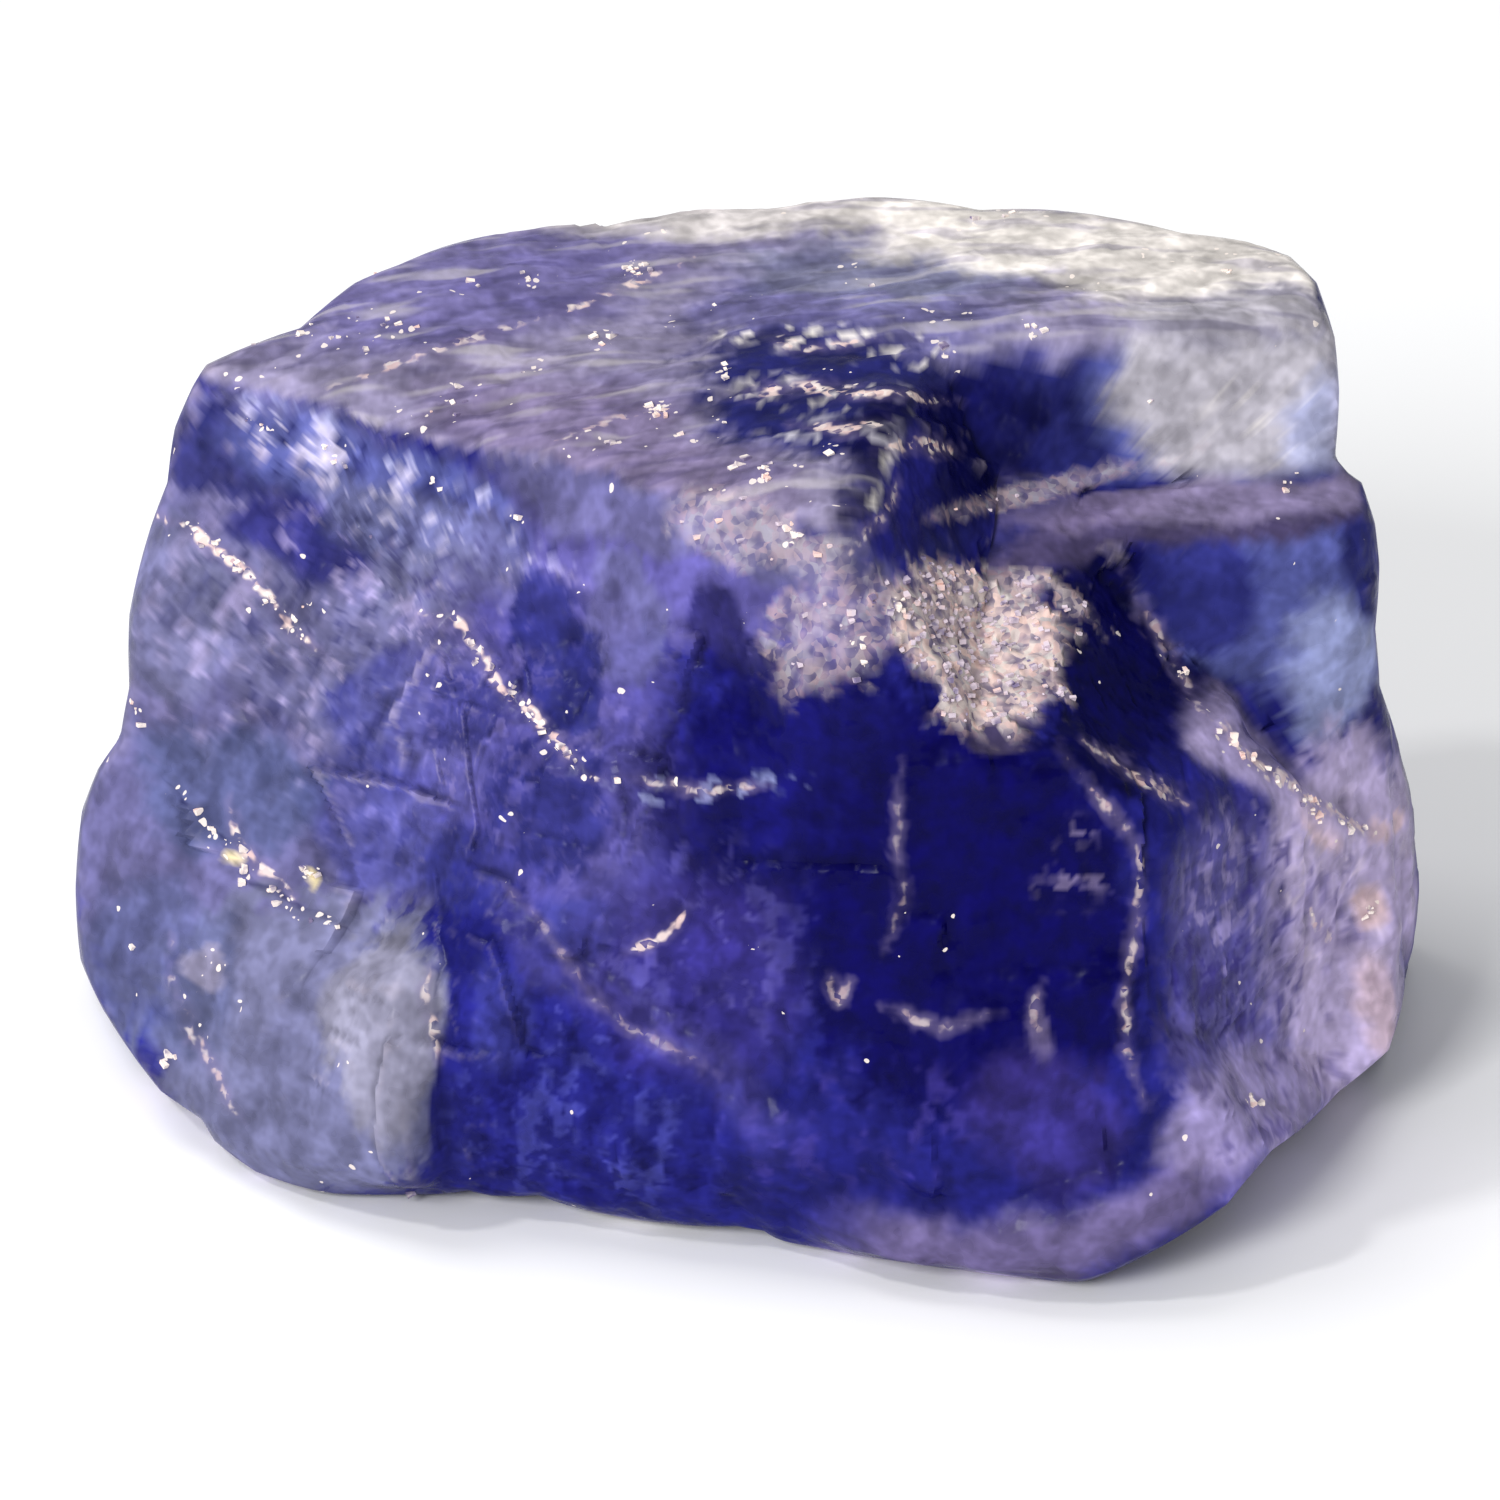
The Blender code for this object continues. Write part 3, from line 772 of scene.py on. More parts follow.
    def relief(self, points: Array, normals: Array) -> Array:
        """Adds up everything that stands out from the plain facets.

        Args:
            points: The plain facets' points.
            normals: Which way they face.

        Returns:
            The height at each point.
        """
        across, up, _ = self.sight.seen(points)
        facing, level = self.facing(normals), self.level(normals)
        wander = Noise(TOP_TERRACE.seed).lumps(points, TERRACE_BENDS)
        relief = self.stairs(points, wander, facing, level)
        for form in FRONT_FORMS:
            relief += form.height(across, up) * facing * (1.0 - level)
        warped = points + self.wander * wander[:, None]
        calm_front = 1.0 - self.front_calm * np.maximum(facing, level)
        calm_level = 1.0 - self.level_calm * level
        for grade in CLEAVAGE_BLOCKS:
            relief += grade.height * self.cleavage(warped, grade.size) * calm_front
        crystal = warped @ self.crystal_axes().T
        for grade in BROKEN_FACETS:
            relief += grade.height * Noise(grade.seed).facets(crystal, grade.size) * calm_level
        grit = GRIT.height + FROST_GRIT.height * self.frost(points, facing)
        relief += grit * Noise(GRIT.seed).facets(crystal, GRIT.size)
        for grade in SOFT_LUMPS:
            relief += grade.height * Noise(grade.seed).lumps(points, grade.size)
        return relief

    def stairs(self, points: Array, wander: Array, facing: Array, level: Array) -> Array:
        """Terraces the top and breaks its near corner into stairs.

        Args:
            points: The plain facets' points.
            wander: How far the terraces wander at each point.
            facing: 1 where the front is seen.
            level: 1 where the surface is level.

        Returns:
            The height at each point.
        """
        along = self.along_terraces(points)
        broad = TOP_TERRACE.height * self.stair(along + wander, TOP_TERRACE.size) * level
        fine = FINE_TERRACE.height * self.stair(along + 0.6 * wander, FINE_TERRACE.size) * level**3
        across, up, _ = self.sight.seen(points)
        near = np.exp(-(NEAR_STAIRS_AREA.out(across, up) ** 4)) * facing
        chipped = 0.6 + 0.4 * Noise(NEAR_STAIR.seed).lumps(points, 1.3)
        treads = self.stair(-up + 0.35 * wander, NEAR_STAIR.size)
        return broad + fine + NEAR_STAIR.height * chipped * treads * near

    def trimmed(self, points: Array) -> Array:
        """Brings in what would stand outside the girdle.

        Args:
            points: The raised points.

        Returns:
            The points, none of them seen outside the girdle from the front.
        """
        across, up, near = self.sight.seen(points)
        rise = up - self.sight.heart_up()
        girdle = np.array(GIRDLE) - (0.0, self.sight.heart_up())
        angles = np.arctan2(girdle[:, 1], girdle[:, 0])
        order = np.argsort(angles)
        rims = np.hypot(*girdle[order].T)
        room = np.interp(np.arctan2(rise, across), angles[order], rims, period=2.0 * math.pi)
        out = np.hypot(across, rise)
        soft = self.trim_softness
        share = (room - soft * np.logaddexp(0.0, (room - out) / soft)) / out
        return self.sight.placed(across * share, rise * share + self.sight.heart_up(), near)


class Tint(Enum):
    """The stone's colours, as red, green and blue from 0 to 255."""

    INK = (4, 1, 76)
    MIDNIGHT = (5, 4, 66)
    NAVY = (32, 34, 96)
    ROYAL = (28, 28, 108)
    INDIGO = (38, 40, 112)
    DEEP_STRIP = (58, 60, 138)
    STEEL_BLUE = (84, 90, 152)
    SKY_BLUE = (152, 160, 206)
    VIOLET = (70, 58, 136)
    LAVENDER = (100, 93, 158)
    DUSK = (97, 94, 136)
    DUSK_BLUE = (80, 87, 130)
    SLATE = (112, 114, 142)
    LILAC = (182, 168, 208)
    TOP_LILAC = (131, 124, 153)
    MAUVE = (123, 110, 146)
    PLUM = (66, 58, 92)
    PALE_GREY = (224, 217, 210)
    CLEAR_GREY = (168, 164, 174)
    LOBE_GREY = (112, 113, 145)
    FROST_GREY = (140, 128, 148)
    PINK_WHITE = (216, 200, 212)
    PEACH = (240, 204, 194)
    # The colour of painted gold glints.
    GOLD_GLINT = (240, 222, 172)
    # The colour of painted highlights: the specks, the glint grains and the bright lines.
    CREAM = (252, 238, 228)

    def linear(self) -> Array:
        """Returns the colour as the shaders take it."""
        share = np.array(self.value) / 255.0
        return np.where(share <= 0.04045, share / 12.92, ((share + 0.055) / 1.055) ** 2.4)

    def socket(self) -> tuple[float, float, float, float]:
        """Returns the colour for a shader's socket."""
        return (*self.linear().tolist(), 1.0)


@dataclass(frozen=True)
class Stain:
    """A patch of colour on the front.

    Attributes:
        tint: Its colour.
        area: The oval that it fills.
        strength: How much of the colour below it covers.
        edge: The share of the oval over which it fades out.
    """

    tint: Tint
    area: Oval
    strength: float = 0.9
    edge: float = 0.5

    def cover(self, across: Array, up: Array, ragged: Array) -> Array:
        """Returns how much of the colour below is covered, with the edge pushed in by ragged."""
        out = self.area.out(across, up) + ragged
        return self.strength * smooth_step((1.0 + 0.35 * self.edge - out) / (0.7 * self.edge))


@dataclass(frozen=True)
class Streak:
    """A soft line of colour on the front.

    Attributes:
        tint: Its colour.
        line: The line that it follows.
        width: Half its width.
        strength: How much of the colour below it covers.
    """

    tint: Tint
    line: Stroke
    width: float
    strength: float = 0.8

    def cover(self, across: Array, up: Array, ragged: Array) -> Array:
        """Returns how much of the colour below is covered, with the edge pushed in by ragged."""
        aside, ends = self.line.beside(across, up)
        return self.strength * np.exp(-((aside / self.width + ragged) ** 4)) * ends


@dataclass(frozen=True)
class Flecks(Stain):
    """A patch of scattered flecks.

    Attributes:
        side: 1 for the flecks of one pattern, and -1 for those that lie between them.
    """

    side: float = 1.0

    def cover(self, across: Array, up: Array, ragged: Array) -> Array:
        """Returns how much of the colour below is covered, with the flecks where ragged is high or low."""
        return super().cover(across, up, ragged) * smooth_step((self.side * ragged - 0.02) / 0.10)


Zones = tuple[Stain | Streak, ...]

# How the zones' edges are frayed, and how the stone's colours cloud.
EDGE_FRAY = Grade(34, 0.8, 0.10)
TOP_FRAY = Grade(35, 0.8, 0.08)
FLAKE_FRAY = 0.16
CLOUDING = Grade(15, 1.4, 0.32)
FLAKE_CLOUDING = 0.22
# Painted shade: how much the hollows are darkened.
HOLLOW_SHADE = 0.3
# Painted highlights: pink-white laid on the sharpest crests, from this bend on.
CREST_HIGHLIGHT = 0.25
CREST_START = 0.65

# The pale clear corner at the lower left, which ends at an upright break on its right.
LOBE = Stain(Tint.LOBE_GREY, Oval((-9.8, 0.8), (3.6, 3.5)), 0.85, 0.35)

# Colour zones of the front's walls, in the order in which they lie over each other.
WALL_ZONES: Zones = (
    Stain(Tint.DUSK, Oval((-11.6, 8.2), (5.4, 7.2)), 0.95, 0.5),
    Stain(Tint.ROYAL, Oval((-0.6, 6.0), (5.2, 6.4)), 0.9, 0.5),
    Stain(Tint.LAVENDER, Oval((-2.2, 11.2), (5.2, 1.5), -14.0), 0.75, 0.7),
    Stain(Tint.NAVY, Oval((-11.9, 13.9), (1.5, 1.0), -30.0), 0.85),
    Stain(Tint.STEEL_BLUE, Oval((-8.2, 12.9), (3.6, 1.1), -22.0), 0.85),
    Stain(Tint.ROYAL, Oval((-9.9, 12.0), (1.7, 0.8), -10.0), 0.8),
    Stain(Tint.LOBE_GREY, Oval((-13.0, 10.4), (1.3, 2.0)), 0.5),
    Stain(Tint.LOBE_GREY, Oval((-9.4, 9.3), (3.4, 1.5), -32.0), 0.3),
    Stain(Tint.LOBE_GREY, Oval((-7.2, 11.0), (1.3, 0.8), 20.0), 0.6),
    Flecks(Tint.NAVY, Oval((-8.4, 13.4), (5.0, 1.2), -24.0), 0.8, 0.5, -1.0),
    Flecks(Tint.SKY_BLUE, Oval((-8.0, 13.2), (4.4, 0.8), -24.0), 0.7, 0.6),
    Flecks(Tint.PINK_WHITE, Oval((-8.0, 12.9), (4.6, 0.9), -24.0), 0.5, 0.7),
    Stain(Tint.LOBE_GREY, Oval((-7.0, 12.0), (3.0, 0.8), -24.0), 0.5, 0.8),
    Flecks(Tint.NAVY, Oval((-8.4, 8.6), (4.6, 3.4), -30.0), 0.55, 0.8, -1.0),
    Flecks(Tint.LILAC, Oval((-9.6, 9.2), (4.6, 3.6), -30.0), 0.35, 0.8),
    Stain(Tint.LOBE_GREY, Oval((-2.9, 10.2), (0.7, 1.6), 0.0), 0.4),
    Stain(Tint.DEEP_STRIP, Oval((-7.4, 7.9), (2.0, 1.4), -20.0), 0.6),
    Stain(Tint.DEEP_STRIP, Oval((-8.0, 5.7), (1.9, 1.5), -20.0), 0.6),
    Stain(Tint.DUSK, Oval((-1.6, 12.5), (4.8, 1.0), -14.0), 0.85, 0.6),
    Stain(Tint.LAVENDER, Oval((-4.5, 7.6), (2.8, 4.4), 24.0), 0.45, 0.8),
    Stain(Tint.INDIGO, Oval((-4.2, 9.4), (0.9, 2.1), 12.0), 0.9, 0.4),
    Stain(Tint.INK, Oval((-0.7, 9.9), (1.0, 0.9), -20.0), 0.75, 0.5),
    Stain(Tint.INDIGO, Oval((-4.6, 6.0), (1.3, 1.5)), 0.8, 0.4),
    Stain(Tint.INDIGO, Oval((-6.3, 8.2), (1.0, 0.8)), 0.6),
    Stain(Tint.INDIGO, Oval((-6.2, 4.5), (0.9, 1.0)), 0.7),
    Stain(Tint.DEEP_STRIP, Oval((-3.8, 3.4), (1.0, 0.9)), 0.7),
    Stain(Tint.INK, Oval((0.9, 6.2), (3.2, 3.4), 10.0), 0.8, 0.7),
    Stain(Tint.DUSK_BLUE, Oval((-11.7, 6.6), (2.2, 1.4), -18.0), 0.8),
    LOBE,
    Stain(Tint.CLEAR_GREY, Oval((-8.2, 1.0), (1.2, 2.2)), 0.4),
    Stain(Tint.PINK_WHITE, Oval((-12.2, 2.2), (0.5, 0.5)), 0.6),
    Stain(Tint.DUSK_BLUE, Oval((-13.0, 2.6), (1.5, 2.2), 20.0), 0.6),
    Stain(Tint.ROYAL, Oval((-5.2, 0.6), (1.7, 3.3)), 0.95, 0.3),
    Stain(Tint.DEEP_STRIP, Oval((-5.6, 1.6), (0.8, 1.2)), 0.5),
    Stain(Tint.ROYAL, Oval((-2.2, -1.6), (3.4, 1.5), -14.0), 0.95, 0.4),
    Stain(Tint.VIOLET, Oval((-1.2, 2.2), (2.6, 2.2), -30.0), 0.35, 0.8),
    Stain(Tint.INK, Oval((5.0, 3.6), (4.0, 4.6), 6.0), 1.0, 0.5),
    Stain(Tint.VIOLET, Oval((6.6, -1.0), (1.7, 1.5)), 0.45, 0.9),
    Stain(Tint.MIDNIGHT, Oval((8.5, 9.2), (2.2, 2.9), 12.0), 1.0, 0.4),
    Flecks(Tint.MAUVE, Oval((7.2, 4.9), (1.4, 1.1)), 0.6, 0.8),
    Stain(Tint.MAUVE, Oval((6.5, 1.0), (0.25, 0.8), 8.0), 0.35, 0.8),
    Flecks(Tint.SKY_BLUE, Oval((-1.2, 6.5), (2.4, 0.4)), 0.6, 0.8),
    Flecks(Tint.MAUVE, Oval((-4.6, 7.4), (3.4, 3.0), -40.0), 0.14, 0.9),
    Flecks(Tint.LAVENDER, Oval((-1.8, 2.8), (3.4, 2.8), -30.0), 0.3, 0.9),
    Flecks(Tint.DEEP_STRIP, Oval((-3.6, -0.4), (3.2, 3.0), -10.0), 0.7, 0.6),
    Flecks(Tint.INK, Oval((-3.6, -0.4), (3.2, 3.0), -10.0), 0.5, 0.6, -1.0),
    Flecks(Tint.VIOLET, Oval((2.4, -1.0), (3.6, 1.6)), 0.35, 0.7),
    Stain(Tint.STEEL_BLUE, Oval((11.4, 10.9), (2.4, 2.4)), 0.85, 0.5),
    Stain(Tint.ROYAL, Oval((10.0, 11.0), (1.3, 1.6)), 0.8, 0.6),
    Stain(Tint.SKY_BLUE, Oval((12.8, 9.0), (1.2, 1.5)), 0.9, 0.7),
    Stain(Tint.NAVY, Oval((13.6, 11.4), (0.45, 1.4)), 0.9, 0.5),
    Stain(Tint.LAVENDER, Oval((11.4, 1.0), (2.2, 4.2), 10.0), 0.9, 0.6),
    Stain(Tint.LILAC, Oval((13.4, 3.4), (2.0, 4.2), 0.0), 1.0, 0.5),
    Stain(Tint.ROYAL, Oval((9.9, 4.4), (1.3, 3.2), 6.0), 0.85, 0.6),
    Stain(Tint.LAVENDER, Oval((10.8, 3.2), (1.3, 2.8), 6.0), 0.6, 0.9),
    Flecks(Tint.LILAC, Oval((10.9, 3.2), (1.4, 3.6)), 0.35, 0.8),
    Flecks(Tint.ROYAL, Oval((10.4, 3.2), (1.6, 3.6)), 0.7, 0.8, -1.0),
    Stain(Tint.LILAC, Oval((10.9, -0.6), (1.7, 1.2), 30.0), 0.5, 0.8),
    Flecks(Tint.VIOLET, Oval((11.8, 1.6), (2.4, 4.0)), 0.5, 0.8, -1.0),
    Flecks(Tint.PINK_WHITE, Oval((13.2, 4.4), (1.6, 2.2)), 0.4, 0.8),
    # Painted highlights: two gold glints on the lower crack.
    Stain(Tint.GOLD_GLINT, Oval((-11.5, 5.1), (0.22, 0.16), -40.0), 0.9, 0.6),
    Stain(Tint.GOLD_GLINT, Oval((-9.8, 4.5), (0.2, 0.14), -20.0), 0.8, 0.6),
    Stain(Tint.PEACH, Oval((13.9, 1.6), (0.5, 1.2), 20.0), 0.4, 0.9),
    Stain(Tint.PEACH, Oval((13.8, 3.8), (0.35, 0.5), 0.0), 0.6, 0.8),
    Stain(Tint.PEACH, Oval((14.1, 5.6), (0.3, 0.3), 0.0), 0.6, 0.8),
    Stain(Tint.PEACH, Oval((12.7, 5.7), (0.3, 0.7), 30.0), 0.5, 0.8),
    Streak(Tint.LAVENDER, Stroke(SLANT_BAND), 0.6, 0.2),
    Streak(Tint.MAUVE, Stroke(((1.0, -3.3), (4.4, -4.0), (7.4, -3.5), (9.6, -2.4), (11.4, -0.8))), 0.75, 0.64),
    Streak(Tint.LILAC, Stroke(RIGHT_STREAK), 0.5, 0.7),
)

# Clear parts, with less cloud in them.
CLEAR_AREAS = (
    Oval((-9.8, 0.6), (3.2, 3.0)),
    Oval((12.6, 2.6), (2.6, 4.6)),
    Oval((11.4, 10.6), (2.2, 2.2)),
    Oval((11.4, 15.0), (2.4, 2.0)),
    Oval((4.6, 3.6), (3.4, 4.0)),
)

# The dark broken stairs at the near corner of the top.
TERRACES = Stain(Tint.NAVY, Oval((2.2, 15.1), (3.5, 1.5), -6.0), 1.0, 0.6)

TOP_ZONES: Zones = (
    Stain(Tint.LAVENDER, Oval((-6.0, 17.4), (4.2, 1.2), 12.0), 0.6, 0.9),
    Stain(Tint.MAUVE, Oval((-3.0, 13.4), (4.6, 1.8), -20.0), 0.8, 0.9),
    Stain(Tint.DEEP_STRIP, Oval((2.2, 16.8), (3.6, 0.8), -4.0), 0.45, 0.9),
    TERRACES,
    Stain(Tint.MIDNIGHT, Oval((3.6, 13.4), (1.6, 1.7), 0.0), 0.9, 0.6),
    Stain(Tint.SLATE, Oval((3.0, 17.8), (3.4, 0.7), -4.0), 0.8, 0.9),
    Stain(Tint.PALE_GREY, Oval((8.4, 18.3), (6.2, 1.0), -7.0), 0.95, 0.9),
    Stain(Tint.PALE_GREY, Oval((1.4, 19.2), (6.4, 0.5), 0.0), 0.75, 1.0),
    Stain(Tint.CLEAR_GREY, Oval((10.8, 16.6), (2.6, 1.0), 0.0), 0.9, 0.6),
    Flecks(Tint.PALE_GREY, Oval((2.0, 16.3), (3.6, 0.42), -2.0), 0.9, 0.6),
    Flecks(Tint.PALE_GREY, Oval((2.0, 15.1), (3.0, 0.42), -4.0), 0.95, 0.6),
    Flecks(Tint.CLEAR_GREY, Oval((2.4, 14.2), (2.2, 0.42), -4.0), 0.95, 0.6),
    Stain(Tint.PALE_GREY, Oval((3.2, 13.2), (0.35, 0.7), 15.0), 0.9, 0.6),
)

LEDGE_ZONES: Zones = (
    Stain(Tint.NAVY, Oval((5.2, 12.3), (1.6, 0.6), 20.0), 0.7, 0.7),
    Stain(Tint.MAUVE, Oval((8.0, 12.9), (2.6, 0.4), 12.0), 0.6, 0.8),
    Stain(Tint.LILAC, Oval((11.4, 12.9), (2.9, 0.6), 0.0), 0.35, 0.8),
    Streak(Tint.PINK_WHITE, Stroke(((4.1, 12.6), (5.8, 13.1), (9.3, 13.9))), 0.22, 0.9),
)

RISER_ZONES: Zones = (
    Stain(Tint.MIDNIGHT, Oval((4.6, 14.2), (2.0, 2.2)), 0.8, 0.8),
    Stain(Tint.STEEL_BLUE, Oval((8.4, 14.8), (1.1, 1.7)), 0.7, 0.8),
    Stain(Tint.CLEAR_GREY, Oval((11.0, 15.0), (3.0, 2.4)), 1.0, 0.4),
    Flecks(Tint.PALE_GREY, Oval((11.6, 14.6), (1.8, 1.4)), 0.5, 0.8),
    Stain(Tint.SKY_BLUE, Oval((12.9, 14.4), (0.8, 1.4)), 0.6, 0.8),
)

@dataclass(frozen=True)
class Cloud:
    """A tint that lies in clouds on the sides that the front doesn't show.

    Attributes:
        tint: Its colour.
        size: The size of the largest clouds.
        contrast: How sharp their edges are.
        amount: How much of the stone they cover: 0 is half, and more is more.
    """

    tint: Tint
    size: float
    contrast: float
    amount: float


BACK_CLOUDS = (
    Cloud(Tint.DUSK, 7.0, 1.8, 0.5),
    Cloud(Tint.LILAC, 5.0, 1.6, -0.2),
    Cloud(Tint.INDIGO, 4.0, 1.8, 0.0),
    Cloud(Tint.INK, 6.0, 1.8, -0.2),
    Cloud(Tint.CLEAR_GREY, 4.0, 1.8, -0.6),
)

# Thin pale lines, each with its strength: healed breaks and veins, and painted highlights along the cracks'
# steps, the edges and the top's stairs.
PALE_LINES: tuple[tuple[Path, float], ...] = (
    (UPPER_CRACK, 1.0),
    (MIDDLE_CRACK, 0.9),
    (WAVY_VEIN, 0.25),
    (EDGE_HIGHLIGHT, 0.5),
    (FAINT_CURVE, 0.4),
    (((7.4, 7.5), (8.7, 6.7), (9.8, 6.1)), 0.7),
    (((2.9, 1.6), (4.2, 1.2), (5.6, 1.5)), 0.45),
    (((6.4, 2.1), (6.3, 1.4), (6.6, 0.8)), 0.35),
    (((-2.7, 2.9), (-1.9, 3.2), (-1.3, 3.9)), 0.8),
    (((-2.9, 6.7), (-1.2, 6.4), (0.4, 6.5)), 0.5),
    # A painted highlight on the upright edge of the clear corner.
    (((-7.1, 2.6), (-7.05, 1.4), (-7.0, 0.4)), 0.6),
    (((1.7, 2.4), (1.9, 1.7), (2.2, 2.2)), 0.4),
    (((10.4, 8.7), (10.7, 7.4), (12.2, 6.3), (14.4, 5.1)), 0.7),
    (((12.4, 4.0), (12.8, 3.2), (13.6, 2.8)), 0.6),
    (((-11.6, 6.2), (-11.4, 5.2), (-10.6, 4.6), (-10.1, 3.9)), 0.8),
    (((1.9, 11.3), (3.0, 12.5), (3.4, 13.4)), 0.5),
    (((-5.4, 4.4), (-4.4, 3.0), (-2.8, 1.2), (-0.6, 0.2)), 0.25),
    (((-13.0, 3.2), (-12.4, 1.0), (-11.2, -0.9)), 0.5),
    # Painted highlights on the edges of the top's steps.
    (((-0.7, 15.1), (1.5, 15.3), (4.7, 14.9)), 0.9),
    (((0.2, 16.4), (1.4, 16.2), (2.9, 16.3)), 0.8),
    (((0.9, 14.5), (2.0, 14.3), (3.3, 14.5)), 0.8),
    (((2.8, 13.9), (3.7, 14.1), (4.7, 13.8)), 0.9),
    (((-5.2, 16.6), (-3.2, 17.3), (-1.2, 18.2)), 0.8),
    (((-9.6, 15.2), (-7.4, 16.0), (-4.6, 16.8)), 0.6),
    (((-4.6, 14.0), (-3.0, 14.6), (-1.4, 15.0)), 0.5),
)
DARK_LINES: tuple[tuple[Path, float], ...] = (
    (LOWER_CRACK, 0.7),
    (LOBE_WALL, 0.5),
)

# How the lines wobble, and how much farther away a weak line and a line's end count as.
LINE_WOBBLE = Grade(16, 1.2, 0.16)
WEAK_LINE_GAP = 0.06
LINE_END_GAP = 0.1

# How the glints gather, and how wide a row of them along a crack is: cream specks painted as highlights, and
# bright grains.
GLINT_CLOUDS = Grade(17, 1.8, 2.2)
GLINT_LINE_WIDTH = 0.16

# Places where broken faces flash, and how wide each cluster is: painted highlights, as cream specks and bright
# grains.
GLINT_SPOTS = (
    ((-2.1, 14.8), 0.5), ((0.3, 13.4), 0.35), ((-0.2, 13.6), 0.2), ((-0.6, 15.6), 0.3), ((0.9, 12.0), 0.35),
    ((1.5, 11.6), 0.25), ((0.0, 10.2), 0.3), ((2.3, 9.6), 0.3), ((2.6, 9.2), 0.2), ((3.3, 10.5), 0.3),
    ((-3.8, 10.9), 0.25), ((-1.7, 10.5), 0.2), ((-2.8, 6.6), 0.4), ((0.1, 3.0), 0.2), ((-11.5, 5.2), 0.35),
    ((-9.8, 4.6), 0.4), ((-9.7, 10.4), 0.3), ((-13.6, 8.1), 0.3), ((-12.9, 0.5), 0.4), ((-10.9, 14.4), 0.3),
    ((-9.2, 13.8), 0.35), ((-6.9, 13.2), 0.35), ((-5.2, 12.4), 0.3), ((10.7, 17.9), 0.3), ((6.4, 16.4), 0.3),
    ((12.0, 13.2), 0.3), ((13.8, 3.8), 0.25), ((12.6, 5.9), 0.3), ((11.2, -0.4), 0.3), ((-3.3, 16.4), 0.4),
    ((-7.6, 16.6), 0.4), ((-5.0, 17.6), 0.4), ((-2.6, 17.9), 0.5), ((4.4, 15.9), 0.4), ((9.6, 9.0), 0.2),
)


@dataclass
class StoneColours:
    """Lays the stone's colours on its finished mesh.

    Attributes:
        shape: The stone's surface.
        points: The mesh's points, in the shape's millimetres.
        normals: Which way the mesh faces at each point.
        edges: The mesh's edges, as pairs of points.
        wander: How far the zones wander, in millimetres.
        wander_size: The size of the largest bends.
        flake_sizes: The sizes of the flakes that break up the zones' edges.
        flake_shares: How much each size of flake counts.
        top_height: The height above which the top and the riser begin.
        back_fray: How much the clouds of the hidden sides are frayed.
    """

    shape: StoneShape
    points: Array
    normals: Array
    edges: Array
    wander: float = 0.5
    wander_size: float = 2.2
    flake_sizes: Triple = (0.9, 0.45, 0.26)
    flake_shares: Triple = (0.40, 0.35, 0.35)
    top_height: float = 15.0
    back_fray: float = 1.6
    across: Array = field(init=False)
    up: Array = field(init=False)
    facing: Array = field(init=False)
    flat: Array = field(init=False)
    high: Array = field(init=False)
    ragged: Array = field(init=False)
    flaky: Array = field(init=False)
    crest: Array = field(init=False)

    def __post_init__(self) -> None:
        """Finds where each point is seen, with the edges of the zones made ragged."""
        across, up, _ = self.shape.sight.seen(self.points)
        self.across = across + self.wander * Noise(11).layered(self.points, self.wander_size, 5)
        self.up = up + self.wander * Noise(12).layered(self.points, self.wander_size, 5)
        broad = self.averaged(self.normals, 10)
        broad /= np.linalg.norm(broad, axis=1, keepdims=True)
        self.facing = self.shape.facing(broad)
        frayed = TOP_FRAY.height * Noise(TOP_FRAY.seed).layered(self.points, TOP_FRAY.size, 3)
        self.flat = smooth_step((broad[:, 2] - 0.68 + frayed) / 0.14)
        self.crest = self.crests()
        crystal = self.points @ self.shape.crystal_axes().T
        self.flaky = np.zeros(len(self.points))
        for seed, (size, share) in enumerate(zip(self.flake_sizes, self.flake_shares), start=31):
            self.flaky += share * Noise(seed).flakes(crystal, size)
        frayed = EDGE_FRAY.height * Noise(EDGE_FRAY.seed).layered(self.points, EDGE_FRAY.size, 3)
        self.ragged = FLAKE_FRAY * self.flaky + frayed
        self.high = smooth_step((self.points[:, 2] - self.top_height) / 0.8)

    def crests(self) -> Array:
        """Measures how sharply the surface bends.

        Returns:
            The bend at each point, above 0 on crests and below 0 in hollows.
        """
        bulge = np.einsum("ij,ij->i", self.points - self.averaged(self.points, 2), self.normals)
        spans = np.linalg.norm(self.points[self.edges[:, 0]] - self.points[self.edges[:, 1]], axis=1)
        ends = self.edges.ravel()
        total = np.bincount(ends, np.repeat(spans, 2), len(bulge))
        spacing = total / np.bincount(ends, minlength=len(bulge))
        return self.averaged((bulge / spacing**2)[:, None], 1)[:, 0]

    def averaged(self, values: Array, passes: int) -> Array:
        """Averages values over neighbouring points.

        Args:
            values: A row of values for each point.
            passes: How many times they are averaged.

        Returns:
            The averaged values.
        """
        ends = self.edges.ravel()
        others = self.edges[:, ::-1].ravel()
        count = np.bincount(ends, minlength=len(values)) + 1.0
        for _ in range(passes):
            sums = [np.bincount(ends, column[others], len(values)) for column in values.T]
            values = (values + np.stack(sums, axis=1)) / count[:, None]
        return values

    def lay(self, mesh: bpy.types.Mesh) -> None:
        """Stores the colours and the masks on the mesh.

        Args:
            mesh: The stone's finished mesh.
        """
        colour = self.clouded(self.zoned())
        layer = mesh.color_attributes.new("salt_colour", "FLOAT_COLOR", "POINT")
        layer.data.foreach_set("color", np.column_stack((colour, np.ones(len(colour)))).ravel())
        self.store(mesh, "salt_frost", self.shape.frost(self.points, self.facing))
        stairs = TERRACES.cover(self.across, self.up, self.ragged)
        self.store(mesh, "salt_top", self.flat * self.high * (1.0 - stairs))
        distance, strength = self.nearest(PALE_LINES)
        self.store(mesh, "pale_line", distance)
        self.store(mesh, "pale_strength", strength)
        self.store(mesh, "dark_line", self.nearest(DARK_LINES)[0])
        self.store(mesh, "salt_glint", self.glints())

